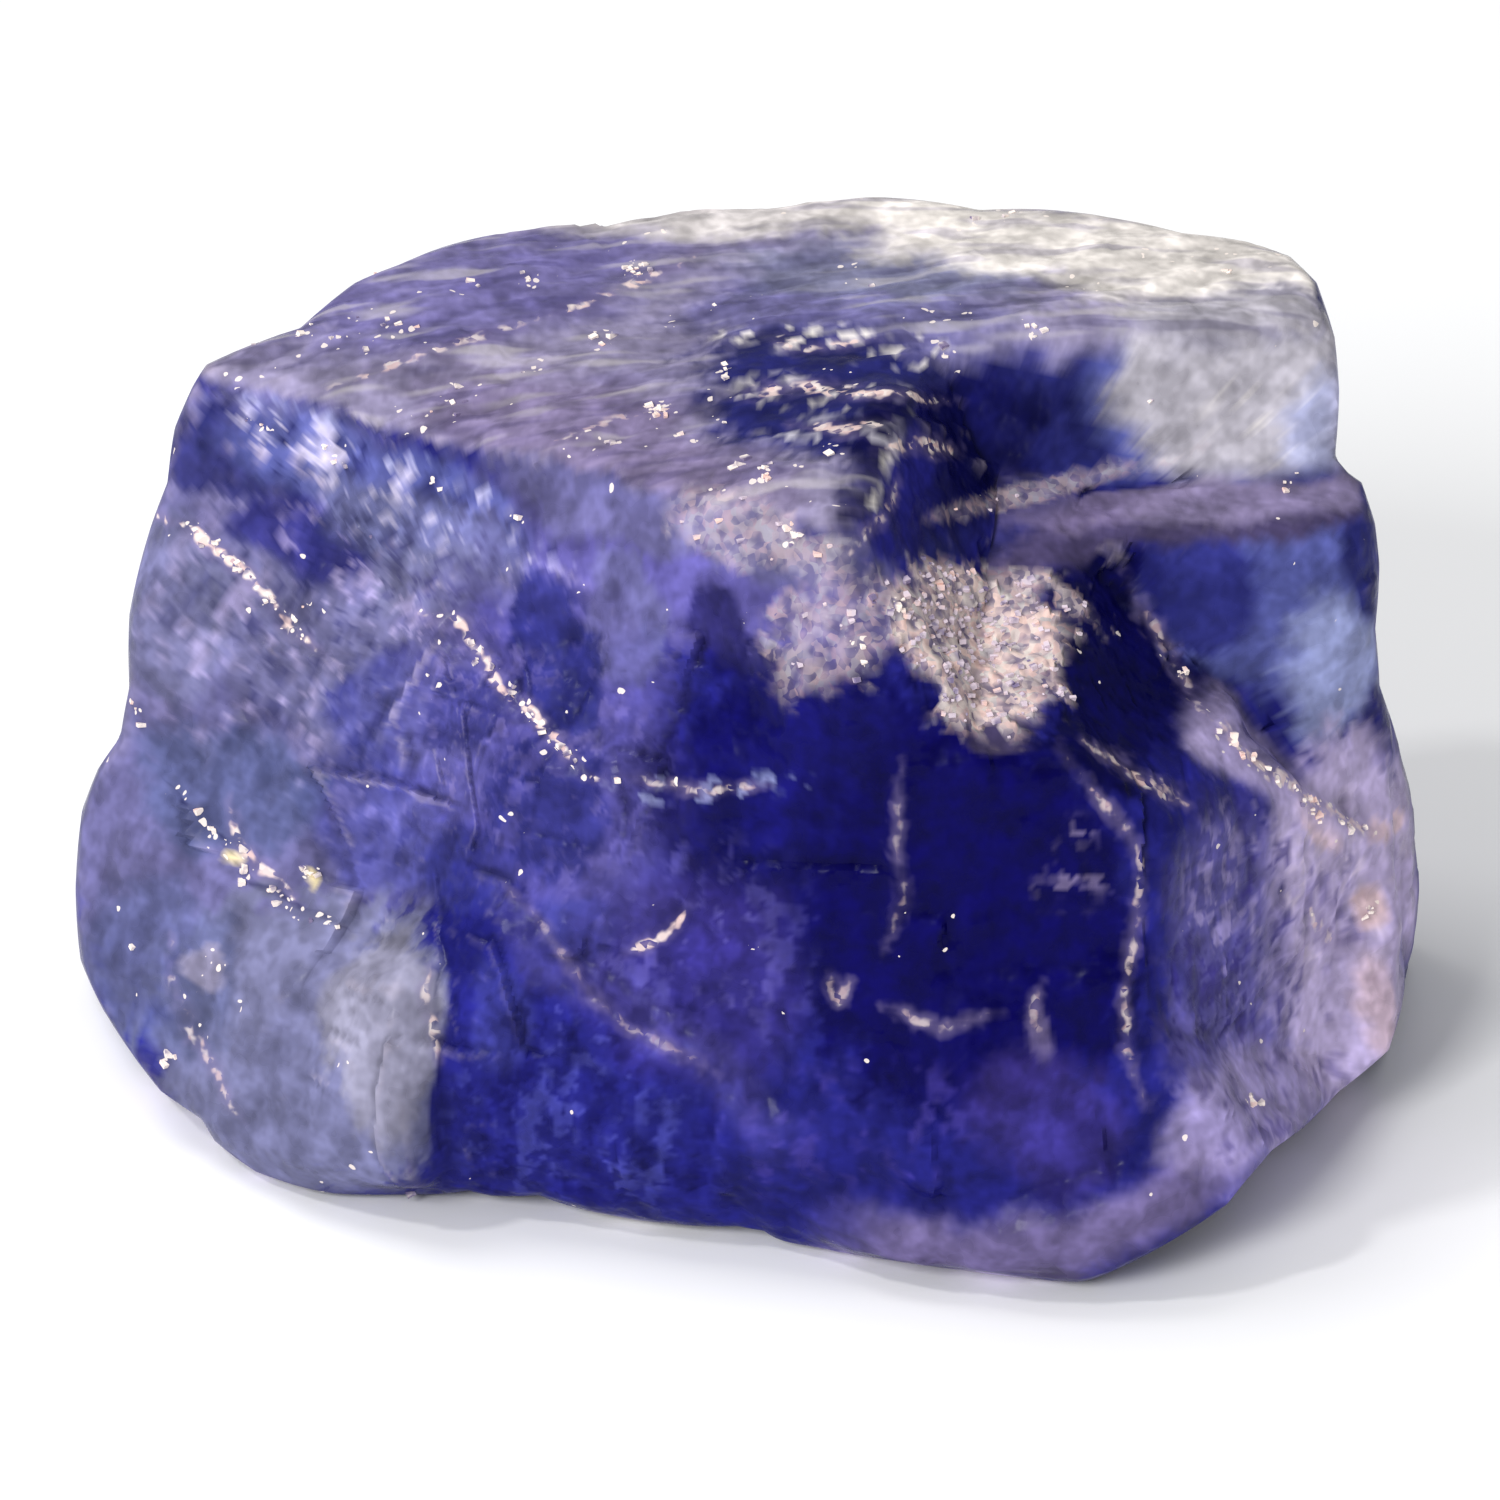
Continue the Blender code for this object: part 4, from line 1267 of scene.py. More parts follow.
    def zoned(self) -> Array:
        """Lays every zone where it belongs: on the walls, the top, the ledge and the riser above it.

        Returns:
            A colour for each point.
        """
        top = self.flat * self.high
        walls = self.facing * (1.0 - top)
        ledge = self.flat * (1.0 - self.high) * self.facing * smooth_step(self.across - 1.5)
        ledge *= 1.0 - smooth_step((self.across - 6.0) / 0.6) * smooth_step((11.7 - self.up) / 0.5)
        riser = smooth_step((self.across - 3.4) / 0.8) * smooth_step((self.points[:, 2] - 14.6) / 0.5)
        colour = self.all_round()
        for ground, zones, share in (
            (Tint.ROYAL, WALL_ZONES, walls),
            (Tint.TOP_LILAC, TOP_ZONES, top),
            (Tint.PLUM, LEDGE_ZONES, ledge),
            (Tint.NAVY, RISER_ZONES, riser * walls),
        ):
            colour = self.over(colour, self.painted(ground, zones), share)
        return colour

    def clouded(self, colour: Array) -> Array:
        """Clouds the colours, paints shade into the hollows and paints pale highlights on the crests.

        Args:
            colour: The colours of the zones.

        Returns:
            A colour for each point.
        """
        clear = np.zeros(len(self.points))
        for area in CLEAR_AREAS:
            clear = np.maximum(clear, smooth_step((1.3 - area.out(self.across, self.up)) / 0.6))
        cloud = CLOUDING.height * Noise(CLOUDING.seed).layered(self.points, CLOUDING.size, 4)
        cloud = (cloud + FLAKE_CLOUDING * self.flaky) * (1.0 - 0.55 * clear * self.facing)
        # Painted shade in the hollows.
        cloud += HOLLOW_SHADE * np.clip(self.crest, -2.0, 0.0)
        # Painted highlights on the crests.
        highlighted = np.clip(self.crest - CREST_START, 0.0, 1.0) * self.crest_highlighting() * (1.0 - 0.5 * clear)
        colour = colour * np.exp(cloud)[:, None]
        return self.over(colour, self.flood(Tint.PINK_WHITE), CREST_HIGHLIGHT * highlighted)

    def crest_highlighting(self) -> Array:
        """Says how strongly the crests get painted highlights: least on the deep blue walls.

        Returns:
            The share at each point, from 0 to 1.
        """
        left = smooth_step((-4.5 - self.across) / 4.0)
        right = smooth_step((self.across - 10.0) / 2.0)
        high = smooth_step((self.up - 9.0) / 3.0)
        return np.clip(0.9 * left + 0.5 * right + 0.8 * high, 0.0, 1.0)

    def over(self, below: Array, above: Array, cover: Array) -> Array:
        """Returns the colours below with a share of them covered by those above."""
        return below + (above - below) * cover[:, None]

    def flood(self, tint: Tint) -> Array:
        """Returns the tint once for each point."""
        return np.tile(tint.linear(), (len(self.points), 1))

    def painted(self, ground: Tint, zones: Zones) -> Array:
        """Lays zones over a ground colour.

        Args:
            ground: The colour below all.
            zones: The zones, in the order in which they are laid.

        Returns:
            A colour for each point.
        """
        colour = self.flood(ground)
        lobe_side = smooth_step((-6.85 - self.across) / 0.2)
        for zone in zones:
            cover = zone.cover(self.across, self.up, self.ragged)
            if zone is LOBE:
                cover = cover * lobe_side
            colour = self.over(colour, self.flood(zone.tint), cover)
        return colour

    def all_round(self) -> Array:
        """Colours the sides that the front doesn't show: blue and lilac clouds.

        Returns:
            A colour for each point.
        """
        colour = self.flood(Tint.ROYAL)
        for seed, cloud in enumerate(BACK_CLOUDS, start=21):
            level = cloud.contrast * Noise(seed).layered(self.points, cloud.size, 4)
            cover = smooth_step(level + cloud.amount + self.back_fray * self.ragged)
            colour = self.over(colour, self.flood(cloud.tint), cover)
        return colour

    def nearest(self, lines: tuple[tuple[Path, float], ...]) -> tuple[Array, Array]:
        """Measures how far each point is from the nearest line.

        Args:
            lines: The lines and their strengths.

        Returns:
            The distance in millimetres, up to 1, and the strength of the nearest line. The distance is
            1 also where no line is seen.
        """
        across, up, _ = self.shape.sight.seen(self.points)
        wobble = LINE_WOBBLE.height * Noise(LINE_WOBBLE.seed).layered(self.points, LINE_WOBBLE.size, 4)
        least = np.ones(len(self.points))
        strongest = np.zeros(len(self.points))
        for line, strength in lines:
            aside, ends = Stroke(line).beside(across + wobble, up + wobble)
            distance = np.abs(aside) + WEAK_LINE_GAP * (1.0 - strength) + LINE_END_GAP * (1.0 - ends)
            strongest = np.where(distance < least, strength, strongest)
            least = np.minimum(least, distance)
        return np.where(self.facing > 0.3, least, 1.0), strongest

    def glints(self) -> Array:
        """Says how thickly the glints lie: the cream specks painted as highlights, and the bright grains.

        Returns:
            The thickness at each point, from 0 to 1.
        """
        left = smooth_step((-2.0 - self.across) / 6.0) * self.facing
        gathered = Noise(GLINT_CLOUDS.seed).layered(self.points, GLINT_CLOUDS.size, 4)
        cloud = smooth_step(gathered * GLINT_CLOUDS.height)
        thick = (0.02 + 0.12 * self.flat * self.high + 0.08 * left) * cloud
        across, up, _ = self.shape.sight.seen(self.points)
        for path in (UPPER_CRACK, MIDDLE_CRACK, LOWER_CRACK, RIGHT_STREAK):
            line = Streak(Tint.CREAM, Stroke(path), GLINT_LINE_WIDTH, 0.7)
            thick = np.maximum(thick, line.cover(across, up, self.ragged) * self.facing)
        for place, radius in GLINT_SPOTS:
            spot = Stain(Tint.CREAM, Oval(place, (0.6 * radius, 0.4 * radius)), 1.0, 0.5)
            thick = np.maximum(thick, spot.cover(across, up, self.ragged) * self.facing)
        return np.clip(thick, 0.0, 1.0)

    def store(self, mesh: bpy.types.Mesh, name: str, values: Array) -> None:
        """Stores a number on each of the mesh's points."""
        layer = mesh.attributes.new(name, "FLOAT", "POINT")
        layer.data.foreach_set("value", values.astype(np.float32))


Value = bpy.types.NodeSocket | float


@dataclass(frozen=True)
class NodeSheet:
    """Shorthand for building a node tree.

    Attributes:
        tree: The tree that is built.
    """

    tree: bpy.types.NodeTree

    def add(self, kind: str, values: dict[str, object] | None = None, **settings: object) -> bpy.types.Node:
        """Adds a node.

        Args:
            kind: The node's type.
            values: Values or sockets for its inputs, by name.
            **settings: Values for its own properties.

        Returns:
            The node.
        """
        node = self.tree.nodes.new(kind)
        for name, value in settings.items():
            setattr(node, name, value)
        for name, value in (values or {}).items():
            self.feed(node.inputs[name], value)
        return node

    def feed(self, socket: bpy.types.NodeSocket, value: object) -> None:
        """Links a socket into an input, or sets it to a plain value."""
        if isinstance(value, bpy.types.NodeSocket):
            self.tree.links.new(value, socket)
        else:
            socket.default_value = value

    def math(self, operation: str, first: Value, second: Value) -> Value:
        """Adds a sum of two values.

        Args:
            operation: The kind of sum.
            first: A socket or a number.
            second: A socket or a number.

        Returns:
            The result's socket.
        """
        node = self.add("ShaderNodeMath", operation=operation)
        self.feed(node.inputs[0], first)
        self.feed(node.inputs[1], second)
        return node.outputs[0]

    def product(self, first: Value, *others: Value) -> Value:
        """Multiplies values.

        Args:
            first: A socket or a number.
            *others: The sockets or numbers that it is multiplied by.

        Returns:
            The result's socket.
        """
        for other in others:
            first = self.math("MULTIPLY", first, other)
        return first

    def mask(self, name: str) -> Value:
        """Returns a number that the mesh keeps on its points."""
        return self.add("ShaderNodeAttribute", attribute_name=name).outputs["Fac"]

    def span(self, value: Value, start: float, end: float, low: Value = 0.0, high: Value = 1.0) -> Value:
        """Maps the values from start to end onto those from low to high, smoothly."""
        given = {"Value": value, "From Min": start, "From Max": end, "To Min": low, "To Max": high}
        return self.add("ShaderNodeMapRange", given, interpolation_type="SMOOTHSTEP").outputs["Result"]

    def mix(self, share: Value, below: object, above: object, blend: str = "MIX") -> bpy.types.NodeSocket:
        """Mixes two colours.

        Args:
            share: How much of the second colour is laid on.
            below: The first colour.
            above: The second colour.
            blend: The way in which they are mixed.

        Returns:
            The mixed colour's socket.
        """
        node = self.add("ShaderNodeMix", data_type="RGBA", blend_type=blend)
        self.feed(node.inputs[0], share)
        self.feed(node.inputs[6], below)
        self.feed(node.inputs[7], above)
        return node.outputs[2]

    def noise(self, place: Value, scale: float, detail: float = 2.0, rough: float = 0.5) -> Value:
        """Adds noise from 0 to 1: scale clouds to the metre, and detail finer layers of strength rough."""
        given = {"Vector": place, "Scale": scale, "Detail": detail, "Roughness": rough}
        return self.add("ShaderNodeTexNoise", given).outputs["Fac"]


@dataclass(frozen=True)
class Patterns:
    """The patterns that the blue salt is drawn with, as sockets.

    Attributes:
        fine: Fine noise.
        cloud: Broader noise.
        streaks: Noise that is drawn out along the top's terraces.
        warmth: A value at random for each small cell of salt.
        size: Another one.
        rank: Another one.
        middle: The distance from the cell's middle.
    """

    fine: Value
    cloud: Value
    streaks: Value
    warmth: Value
    size: Value
    rank: Value
    middle: Value


@dataclass(frozen=True)
class BlueSalt:
    """The finish of the stone: clouded blue salt, part clear, with a broken sheen.

    Attributes:
        name: The material's name.
        clearness: How much light passes through.
        bend: The index of refraction of rock salt.
        sheen: How strongly the surface mirrors.
        depth_tint: The colour that is left of light that has passed through.
        depth_density: How fast the stone takes up light, to the metre.
        fine_per_metre: How closely the fine noise lies.
        clouds_per_metre: How closely the broader noise lies.
        streaks_per_metre: How closely the streaks of the top lie.
        streak_turn: The direction of the streaks, in degrees from X.
        streak_shape: How the streaks' noise is drawn out, along, across and up.
        specks_per_metre: How closely the bright specks can lie.
        speck_shift: How far their outlines are pushed about, in metres.
        halo_reach: How far a healed crack's haze reaches, in millimetres.
        line_reach: How far from its middle a crack's line fades out, in millimetres.
        line_core: How far from its middle a crack's line is full.
        dent: The depth of the fine dents, in metres.
        frost_dent: The depth of the dents in crushed salt, in metres.
        streak_dent: The depth of the streaks, in metres.
    """

    name: str = "blue_salt"
    clearness: float = 0.08
    bend: float = 1.544
    sheen: float = 0.02
    depth_tint: tuple[float, float, float, float] = (0.30, 0.26, 0.78, 1.0)
    depth_density: float = 420.0
    fine_per_metre: float = 2600.0
    clouds_per_metre: float = 1000.0
    streaks_per_metre: float = 1700.0
    streak_turn: float = 31.0
    streak_shape: Triple = (0.2, 1.0, 0.5)
    specks_per_metre: float = 5600.0
    speck_shift: float = 0.0003
    halo_reach: float = 0.34
    line_reach: float = 0.13
    line_core: float = 0.02
    dent: float = 0.00005
    frost_dent: float = 0.00016
    streak_dent: float = 0.00006

    def material(self) -> bpy.types.Material:
        """Builds the material.

        Returns:
            The finished material.
        """
        salt = bpy.data.materials.new(self.name)
        salt.use_nodes = True
        sheet = NodeSheet(salt.node_tree)
        shader = salt.node_tree.nodes["Principled BSDF"].inputs
        shader["Metallic"].default_value = 0.0
        shader["Transmission Weight"].default_value = self.clearness
        shader["IOR"].default_value = self.bend
        shader["Specular IOR Level"].default_value = self.sheen
        inputs = {"Color": self.depth_tint, "Density": self.depth_density}
        depth = sheet.add("ShaderNodeVolumeAbsorption", inputs).outputs["Volume"]
        sheet.feed(salt.node_tree.nodes["Material Output"].inputs["Volume"], depth)

        patterns = self.patterns(sheet)
        frost, top = sheet.mask("salt_frost"), sheet.mask("salt_top")
        specks = self.specks(sheet, patterns)
        painted = self.ground(sheet, patterns)
        painted = self.streaked(sheet, patterns, painted, top)
        painted = self.healed_and_highlit(sheet, patterns, painted)
        painted = self.crushed(sheet, patterns, painted, frost)
        # Painted highlights: the specks are laid on in cream.
        painted = sheet.mix(sheet.product(specks, 0.75), painted, Tint.CREAM.socket())
        sheet.feed(shader["Base Color"], painted)
        rough = sheet.span(patterns.cloud, 0.35, 0.65, 0.22, 0.55)
        sheet.feed(shader["Roughness"], sheet.product(rough, sheet.span(specks, 0.0, 1.0, 1.0, 0.3)))
        dents = sheet.product(patterns.fine, sheet.span(frost, 0.0, 1.0, self.dent, self.frost_dent))
        height = sheet.math("ADD", dents, sheet.product(patterns.streaks, top, self.streak_dent))
        bump = sheet.add("ShaderNodeBump", {"Strength": 1.0, "Distance": 1.0, "Height": height})
        sheet.feed(shader["Normal"], bump.outputs["Normal"])
        return salt

    def patterns(self, sheet: NodeSheet) -> Patterns:
        """Adds the patterns.

        Args:
            sheet: The material's tree.

        Returns:
            The patterns' sockets.
        """
        place = sheet.add("ShaderNodeTexCoord").outputs["Object"]
        fine = sheet.noise(place, self.fine_per_metre, 1.0, 0.6)
        cloud = sheet.noise(place, self.clouds_per_metre, 2.0, 0.6)
        turn = (0.0, 0.0, -math.radians(self.streak_turn))
        grain = sheet.add("ShaderNodeMapping", {"Vector": place, "Rotation": turn, "Scale": self.streak_shape})
        streaks = sheet.noise(grain.outputs["Vector"], self.streaks_per_metre, 1.0, 0.6)
        moved = sheet.add("ShaderNodeVectorMath", operation="MULTIPLY_ADD")
        sheet.feed(moved.inputs[0], fine.node.outputs["Color"])
        sheet.feed(moved.inputs[1], (self.speck_shift,) * 3)
        sheet.feed(moved.inputs[2], place)
        inputs = {"Vector": moved.outputs["Vector"], "Scale": self.specks_per_metre}
        cells = sheet.add("ShaderNodeTexVoronoi", inputs).outputs
        split = sheet.add("ShaderNodeSeparateColor", {"Color": cells["Color"]}).outputs
        return Patterns(fine, cloud, streaks, split["Red"], split["Green"], split["Blue"], cells["Distance"])

    def ground(self, sheet: NodeSheet, patterns: Patterns) -> Value:
        """Clouds the colours that the mesh carries.

        Args:
            sheet: The material's tree.
            patterns: The patterns.

        Returns:
            The colour's socket.
        """
        colour = sheet.add("ShaderNodeAttribute", attribute_name="salt_colour").outputs["Color"]
        mottled = sheet.span(patterns.fine, 0.3, 0.7, 0.88, 1.14)
        clouded = sheet.span(patterns.cloud, 0.3, 0.7, 0.76, 1.26)
        mixed = sheet.add("ShaderNodeVectorMath", operation="SCALE")
        sheet.feed(mixed.inputs[0], colour)
        sheet.feed(mixed.inputs["Scale"], sheet.product(mottled, clouded))
        return mixed.outputs["Vector"]

    def streaked(self, sheet: NodeSheet, patterns: Patterns, painted: Value, top: Value) -> Value:
        """Draws light and dark streaks along the top's terraces.

        Args:
            sheet: The material's tree.
            patterns: The patterns.
            painted: The colour below.
            top: The mask of the top.

        Returns:
            The colour's socket.
        """
        light = sheet.product(sheet.span(patterns.streaks, 0.54, 0.72), top, 0.3)
        painted = sheet.mix(light, painted, Tint.PALE_GREY.socket())
        gloom = sheet.product(sheet.span(patterns.streaks, 0.48, 0.34), top, 0.35)
        return sheet.mix(gloom, painted, Tint.LAVENDER.socket(), "MULTIPLY")

    def healed_and_highlit(self, sheet: NodeSheet, patterns: Patterns, painted: Value) -> Value:
        """Draws the pale lines, healed cracks and painted highlights along edges and crack steps: a haze, a
        broken pale line in it, and dark gaps.

        Args:
            sheet: The material's tree.
            patterns: The patterns.
            painted: The colour below.

        Returns:
            The colour's socket.
        """
        frayed = sheet.span(patterns.fine, 0.3, 0.7, 0.08, -0.06)
        pale = sheet.math("ADD", sheet.mask("pale_line"), frayed)
        haze = sheet.span(patterns.cloud, 0.36, 0.6, 0.1, 0.4)
        halo = sheet.product(sheet.span(pale, self.halo_reach, 0.05), haze)
        painted = sheet.mix(halo, painted, Tint.MAUVE.socket())
        pieces = sheet.product(patterns.fine, sheet.math("ADD", patterns.size, 0.5))
        broken = sheet.span(pieces, 0.34, 0.56)
        line = sheet.span(pale, self.line_reach, self.line_core)
        line = sheet.product(line, broken, sheet.mask("pale_strength"), 0.9)
        line_tint = sheet.mix(patterns.warmth, Tint.PEACH.socket(), Tint.CREAM.socket())
        painted = sheet.mix(line, painted, line_tint)
        gap = sheet.span(sheet.mask("dark_line"), self.line_reach, self.line_core)
        gap = sheet.product(gap, sheet.span(patterns.cloud, 0.34, 0.5, 0.3, 1.0), 0.6)
        return sheet.mix(gap, painted, Tint.MIDNIGHT.socket())

    def crushed(self, sheet: NodeSheet, patterns: Patterns, painted: Value, frost: Value) -> Value:
        """Lays the crust of crushed salt.

        Args:
            sheet: The material's tree.
            patterns: The patterns.
            painted: The colour below.
            frost: The mask of the crushed salt.

        Returns:
            The colour's socket.
        """
        lumps = sheet.math("ADD", patterns.fine, sheet.product(patterns.size, 0.35))
        crust = sheet.span(lumps, 0.34, 0.90)
        tips = sheet.mix(patterns.warmth, Tint.PEACH.socket(), Tint.PALE_GREY.socket())
        crust_tint = sheet.mix(crust, Tint.FROST_GREY.socket(), tips)
        cover = sheet.product(frost, sheet.span(crust, 0.0, 0.5, 0.7, 0.96))
        return sheet.mix(cover, painted, crust_tint)

    def specks(self, sheet: NodeSheet, patterns: Patterns) -> Value:
        """Chooses the cells that flash: specks of cream painted into the colour as highlights.

        Args:
            sheet: The material's tree.
            patterns: The patterns.

        Returns:
            The specks' socket: 1 on a speck, and 0 elsewhere.
        """
        chosen = sheet.math("LESS_THAN", patterns.rank, sheet.mask("salt_glint"))
        small = sheet.math("LESS_THAN", patterns.middle, sheet.product(patterns.warmth, 0.5))
        return sheet.product(chosen, small)


@dataclass(frozen=True)
class GrainSalt:
    """The finish of the loose grains: bright, nearly white salt.

    Attributes:
        name: The material's name.
        tint: The colour of most grains.
        bend: The index of refraction of rock salt.
        roughness: How rough the small faces are.
        patches_per_metre: How closely the patches of other tints lie.
    """

    name: str = "grain_salt"
    tint: Tint = Tint.PINK_WHITE
    bend: float = 1.544
    roughness: float = 0.15
    patches_per_metre: float = 1700.0

    def material(self) -> bpy.types.Material:
        """Builds the material.

        Returns:
            The finished material.
        """
        salt = bpy.data.materials.new(self.name)
        salt.use_nodes = True
        sheet = NodeSheet(salt.node_tree)
        shader = salt.node_tree.nodes["Principled BSDF"].inputs
        shader["IOR"].default_value = self.bend
        shader["Roughness"].default_value = self.roughness
        place = sheet.add("ShaderNodeTexCoord").outputs["Object"]
        patch = sheet.noise(place, self.patches_per_metre)
        painted = sheet.mix(sheet.span(patch, 0.34, 0.48), Tint.MAUVE.socket(), self.tint.socket())
        painted = sheet.mix(sheet.span(patch, 0.54, 0.66), painted, Tint.PEACH.socket())
        sheet.feed(shader["Base Color"], painted)
        return salt


@dataclass
class StoneBlock:
    """The stone itself.

    Attributes:
        shape: Its surface.
        finish: Its finish.
        kept_share: The share of the grid's triangles that is kept; the back and the base give up the rest.
        hidden_bands: How many steps there are from the seen to the hidden sides.
        crease: The angle above which an edge is left sharp, in degrees.
    """

    shape: StoneShape
    finish: BlueSalt = BlueSalt()
    kept_share: float = 0.6
    hidden_bands: int = 4
    crease: float = 42.0

    def fit(self) -> tuple[Array, Array]:
        """Fits the shape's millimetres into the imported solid's box.

        Returns:
            The scale along each axis and the move, both for points in millimetres.
        """
        low, high = (np.array(corner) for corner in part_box(STONE_NODE))
        own_low, own_high = self.shape.points.min(axis=0), self.shape.points.max(axis=0)
        scale = (high - low) / (own_high - own_low)
        return scale, low - own_low * scale

    def thinned(self, mesh: bpy.types.Mesh) -> bpy.types.Mesh:
        """Thins the mesh where the front doesn't show it.

        Args:
            mesh: The whole grid.

        Returns:
            The thinned mesh.
        """
        rough = bpy.data.objects.new("rough_stone", mesh)
        bpy.context.scene.collection.objects.link(rough)
        hidden = 1.0 - self.shape.facing(self.shape.normals(self.shape.points))
        group = rough.vertex_groups.new(name="hidden")
        band = 1.0 / self.hidden_bands
        for share in np.linspace(band, 1.0, self.hidden_bands):
            chosen = np.flatnonzero((hidden > share - band) & (hidden <= share))
            group.add(chosen.tolist(), share, "REPLACE")
        thin = rough.modifiers.new("thin", "DECIMATE")
        thin.ratio = self.kept_share
        thin.vertex_group = group.name
        thin.vertex_group_factor = 1.0
        evaluated = rough.evaluated_get(bpy.context.evaluated_depsgraph_get())
        result = bpy.data.meshes.new_from_object(evaluated)
        bpy.data.objects.remove(rough, do_unlink=True)
        return result

    def build(self) -> bpy.types.Object:
        """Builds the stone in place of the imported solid.

        Returns:
            The finished object.
        """
        self.shape.build()
        scale, move = self.fit()
        grid = bpy.data.meshes.new("rough_stone")
        grid.from_pydata(self.shape.points * scale + move, [], self.shape.quads.tolist())
        mesh = self.thinned(grid)
        mesh.name = "halite_stone"
        mesh.polygons.foreach_set("use_smooth", np.ones(len(mesh.polygons), dtype=bool))
        mesh.set_sharp_from_angle(angle=math.radians(self.crease))
        points = np.empty(3 * len(mesh.vertices))
        mesh.vertices.foreach_get("co", points)
        normals = np.empty(3 * len(mesh.vertices))
        mesh.vertex_normals.foreach_get("vector", normals)
        edges = np.empty(2 * len(mesh.edges), dtype=np.int32)
        mesh.edges.foreach_get("vertices", edges)
        points = (points.reshape(-1, 3) - move) / scale
        StoneColours(self.shape, points, normals.reshape(-1, 3), edges.reshape(-1, 2)).lay(mesh)
        mesh.materials.append(self.finish.material())
        stone = bpy.data.objects.new("halite_stone", mesh)
        bpy.context.scene.collection.objects.link(stone)
        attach(stone, BODY)
        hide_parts(STONE_NODE)
        return stone


@dataclass
class SaltGrains:
    """Small blocks of salt that stand out of the broken places.

    Attributes:
        name: The piece's name.
        mask: The stone's mask that says where they lie.
        density: Grains to the square metre where they lie thickest.
        size: The smallest and the largest grain, in metres.
        finish: The grains' finish.
        seed: The seed of their places.
        turns: The least and the greatest turn about each axis, in radians.
        shapes: The least and the greatest length, width and height, as shares of the size.
    """

    name: str
    mask: str
    density: float
    size: tuple[float, float]
    finish: bpy.types.Material
    seed: int
    turns: tuple[Triple, Triple] = ((-0.35, -0.35, 0.1), (0.35, 0.35, 0.7))
    shapes: tuple[Triple, Triple] = ((0.5, 0.5, 0.35), (1.4, 1.2, 0.9))

    def sizes(self) -> tuple[tuple[str, float], ...]:
        """Returns the scatter's inputs and their values."""
        return ("Density", self.density), ("Smallest", self.size[0]), ("Largest", self.size[1])

    def tree(self) -> bpy.types.NodeTree:
        """Builds the scatter.

        Returns:
            The geometry node tree.
        """
        tree = bpy.data.node_groups.new(self.name, "GeometryNodeTree")
        tree.interface.new_socket("Geometry", in_out="INPUT", socket_type="NodeSocketGeometry")
        for name, value in self.sizes():
            socket = tree.interface.new_socket(name, in_out="INPUT", socket_type="NodeSocketFloat")
            socket.default_value = value
        tree.interface.new_socket("Geometry", in_out="OUTPUT", socket_type="NodeSocketGeometry")
        sheet = NodeSheet(tree)
        given = sheet.add("NodeGroupInput").outputs
        result = sheet.add("NodeGroupOutput").inputs
        thick = sheet.add("GeometryNodeInputNamedAttribute", {"Name": self.mask}, data_type="FLOAT")
        density = sheet.math("MULTIPLY", sheet.math("POWER", thick.outputs["Attribute"], 2.0), given["Density"])
        inputs = {"Mesh": given["Geometry"], "Density": density, "Seed": self.seed}
        points = sheet.add("GeometryNodeDistributePointsOnFaces", inputs)
        turn = sheet.add("FunctionNodeRandomValue", {"Seed": self.seed + 1}, data_type="FLOAT_VECTOR")
        shape = sheet.add("FunctionNodeRandomValue", {"Seed": self.seed + 2}, data_type="FLOAT_VECTOR")
        for index in range(2):
            turn.inputs[index].default_value = self.turns[index]
            shape.inputs[index].default_value = self.shapes[index]
        size = sheet.add("FunctionNodeRandomValue", {"Seed": self.seed + 3}, data_type="FLOAT")
        sheet.feed(size.inputs[2], given["Smallest"])
        sheet.feed(size.inputs[3], given["Largest"])
        scale = sheet.add("ShaderNodeVectorMath", operation="SCALE")
        sheet.feed(scale.inputs[0], shape.outputs[0])
        sheet.feed(scale.inputs["Scale"], size.outputs[1])
        block = sheet.add("GeometryNodeMeshCube", {"Size": (1.0, 1.0, 1.0)})
        inputs = {"Points": points.outputs["Points"], "Instance": block.outputs["Mesh"]}
        cubes = sheet.add("GeometryNodeInstanceOnPoints", inputs)
        sheet.feed(cubes.inputs["Rotation"], turn.outputs[0])
        sheet.feed(cubes.inputs["Scale"], scale.outputs[0])
        real = sheet.add("GeometryNodeRealizeInstances", {"Geometry": cubes.outputs["Instances"]})
        inputs = {"Geometry": real.outputs["Geometry"], "Material": self.finish}
        dressed = sheet.add("GeometryNodeSetMaterial", inputs)
        sheet.feed(result["Geometry"], dressed.outputs["Geometry"])
        return tree

    def build(self, stone: bpy.types.Object) -> bpy.types.Object:
        """Scatters the grains over the stone.

        Args:
            stone: The finished stone.

        Returns:
            The grains, as one object.
        """
        bed = bpy.data.objects.new("grain_bed", stone.data)
        bpy.context.scene.collection.objects.link(bed)
        scatter = bed.modifiers.new("scatter", "NODES")
        scatter.node_group = self.tree()
        for name, value in self.sizes():
            scatter[scatter.node_group.interface.items_tree[name].identifier] = value
        evaluated = bed.evaluated_get(bpy.context.evaluated_depsgraph_get())
        mesh = bpy.data.meshes.new_from_object(evaluated)
        bpy.data.objects.remove(bed, do_unlink=True)
        grains = bpy.data.objects.new(self.name, mesh)
        bpy.context.scene.collection.objects.link(grains)
        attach(grains, BODY)
        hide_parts(STONE_NODE)
        return grains


@dataclass(frozen=True)
class Lamp:
    """A square light that faces the stone.

    Attributes:
        name: Its name.
        place: Where it hangs, from the picture's middle, in metres.
        size: The length of its side, in metres.
        power: Its power, in watts.
    """

    name: str
    place: Triple
    size: float
    power: float


LAMPS = (
    Lamp("top_light", (-0.16, 0.06, 0.34), 0.15, 0.4),
    Lamp("front_light", (-0.18, -0.34, 0.24), 0.14, 1.4),
    Lamp("spark_light", (-0.22, -0.10, 0.30), 0.03, 0.3),
)


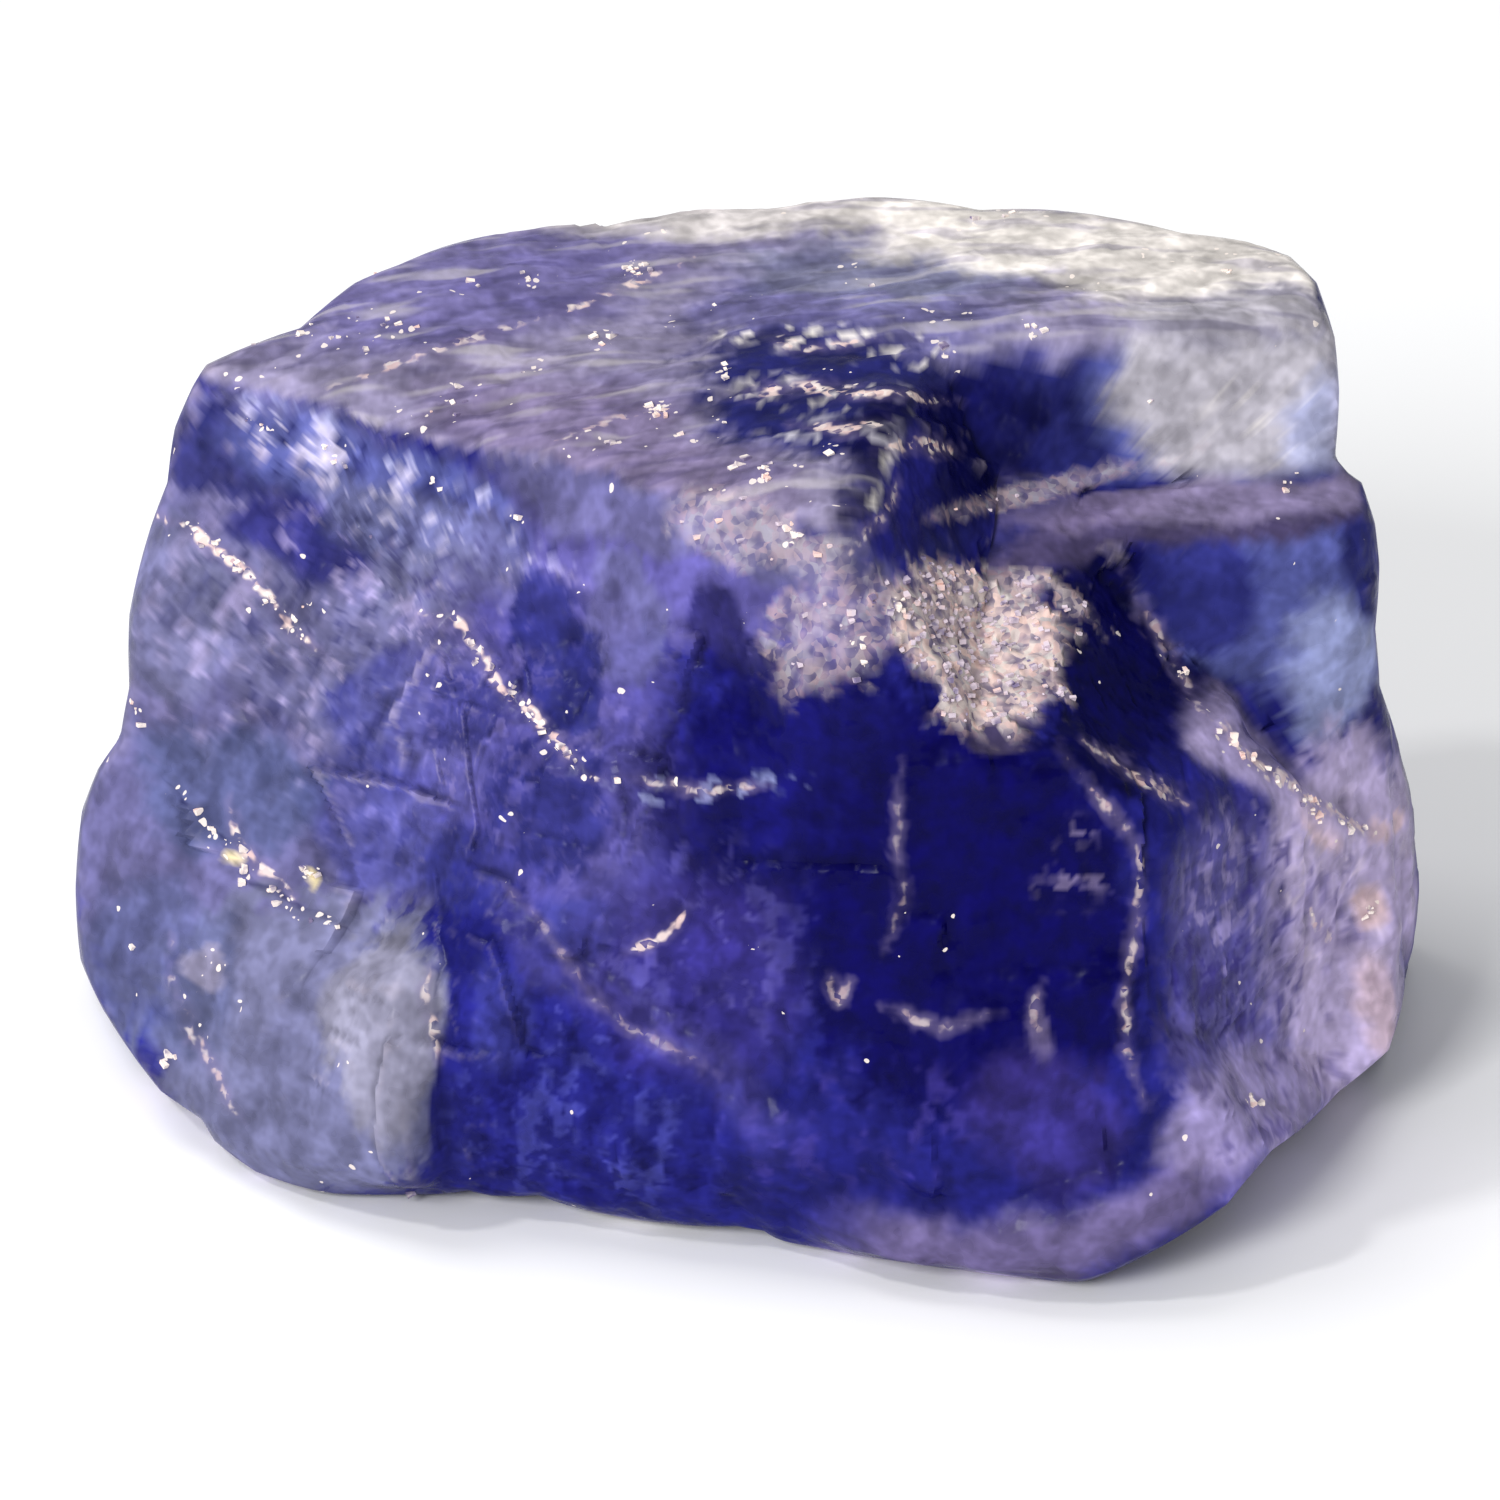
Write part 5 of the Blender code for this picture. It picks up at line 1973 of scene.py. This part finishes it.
@dataclass
class Studio:
    """The pale floor, the soft lights and the camera.

    Attributes:
        sight: The line of sight on the front.
        move: From the shape's millimetres to the scene's metres.
        frame_width: The width that the picture takes in at the heart, in millimetres.
        middle_up: How far up the sight plane the picture's middle is.
        floor_size: Half the length of the floor's side, in metres.
        floor_shade: How light the floor is.
        floor_roughness: How rough it is.
        floor_sheen: How strongly it mirrors.
        room_tint: The colour of the light from all round.
        room_light: Its strength.
    """

    sight: Sight
    move: Array
    frame_width: float = 33.33
    middle_up: float = 7.38
    floor_size: float = 1.5
    floor_shade: float = 0.94
    floor_roughness: float = 0.9
    floor_sheen: float = 0.1
    room_tint: tuple[float, float, float, float] = (0.97, 0.98, 1.0, 1.0)
    room_light: float = 0.5

    def target(self) -> Vector:
        """Returns the point in the middle of the picture."""
        rise = (self.middle_up - self.sight.heart_up()) * self.sight.axes()[1]
        return Vector((np.array(self.sight.heart) + rise) * MM + self.move)

    def camera(self) -> None:
        """Sets the camera on the line of sight."""
        camera = bpy.data.cameras.new("camera")
        camera.lens = camera.sensor_width * self.sight.distance / self.frame_width
        camera.clip_start = 0.01
        holder = bpy.data.objects.new("camera", camera)
        toward = Vector(self.sight.axes()[2])
        holder.location = self.target() + toward * self.sight.distance * MM
        holder.rotation_euler = (-toward).to_track_quat("-Z", "Y").to_euler()
        bpy.context.scene.collection.objects.link(holder)
        bpy.context.scene.camera = holder

    def floor(self) -> None:
        """Lays the floor."""
        size = self.floor_size
        mesh = bpy.data.meshes.new("floor")
        corners = [(-size, -size, 0.0), (size, -size, 0.0), (size, size, 0.0), (-size, size, 0.0)]
        mesh.from_pydata(corners, [], [(0, 1, 2, 3)])
        paper = bpy.data.materials.new("floor_paper")
        paper.use_nodes = True
        shader = paper.node_tree.nodes["Principled BSDF"].inputs
        shader["Base Color"].default_value = (*(self.floor_shade,) * 3, 1.0)
        shader["Roughness"].default_value = self.floor_roughness
        shader["Specular IOR Level"].default_value = self.floor_sheen
        mesh.materials.append(paper)
        floor = bpy.data.objects.new("floor", mesh)
        bpy.context.scene.collection.objects.link(floor)

    def light(self, lamp: Lamp) -> None:
        """Hangs a light."""
        area = bpy.data.lights.new(lamp.name, "AREA")
        area.size = lamp.size
        area.energy = lamp.power
        holder = bpy.data.objects.new(lamp.name, area)
        holder.location = self.target() + Vector(lamp.place)
        holder.rotation_euler = (-Vector(lamp.place)).to_track_quat("-Z", "Y").to_euler()
        bpy.context.scene.collection.objects.link(holder)

    def build(self) -> None:
        """Sets up the studio."""
        self.camera()
        self.floor()
        for lamp in LAMPS:
            self.light(lamp)
        world = bpy.data.worlds.new("room")
        world.use_nodes = True
        backdrop = world.node_tree.nodes["Background"].inputs
        backdrop["Color"].default_value = self.room_tint
        backdrop["Strength"].default_value = self.room_light
        bpy.context.scene.world = world
        bpy.context.scene.view_settings.view_transform = "Standard"


def main() -> None:
    """Builds the stone, its grains and the studio."""
    logging.basicConfig(level=logging.INFO, format="%(name)s: %(message)s")
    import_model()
    sight = Sight()
    block = StoneBlock(StoneShape(sight))
    stone = block.build()
    log.info("%s: %d faces", stone.name, len(stone.data.polygons))
    loose = GrainSalt().material()
    # The glint grains: small salt grains, tinted cream as painted highlights.
    bright = GrainSalt("glint_salt", Tint.CREAM).material()
    for grains in (
        SaltGrains("frost_grains", "salt_frost", 16.0e6, (0.00005, 0.00016), loose, 7),
        SaltGrains("glint_grains", "salt_glint", 24.0e6, (0.00006, 0.00018), bright, 17),
    ):
        piece = grains.build(stone)
        log.info("%s: %d faces", piece.name, len(piece.data.polygons))
    Studio(sight, block.fit()[1]).build()


if __name__ == "__main__":
    main()
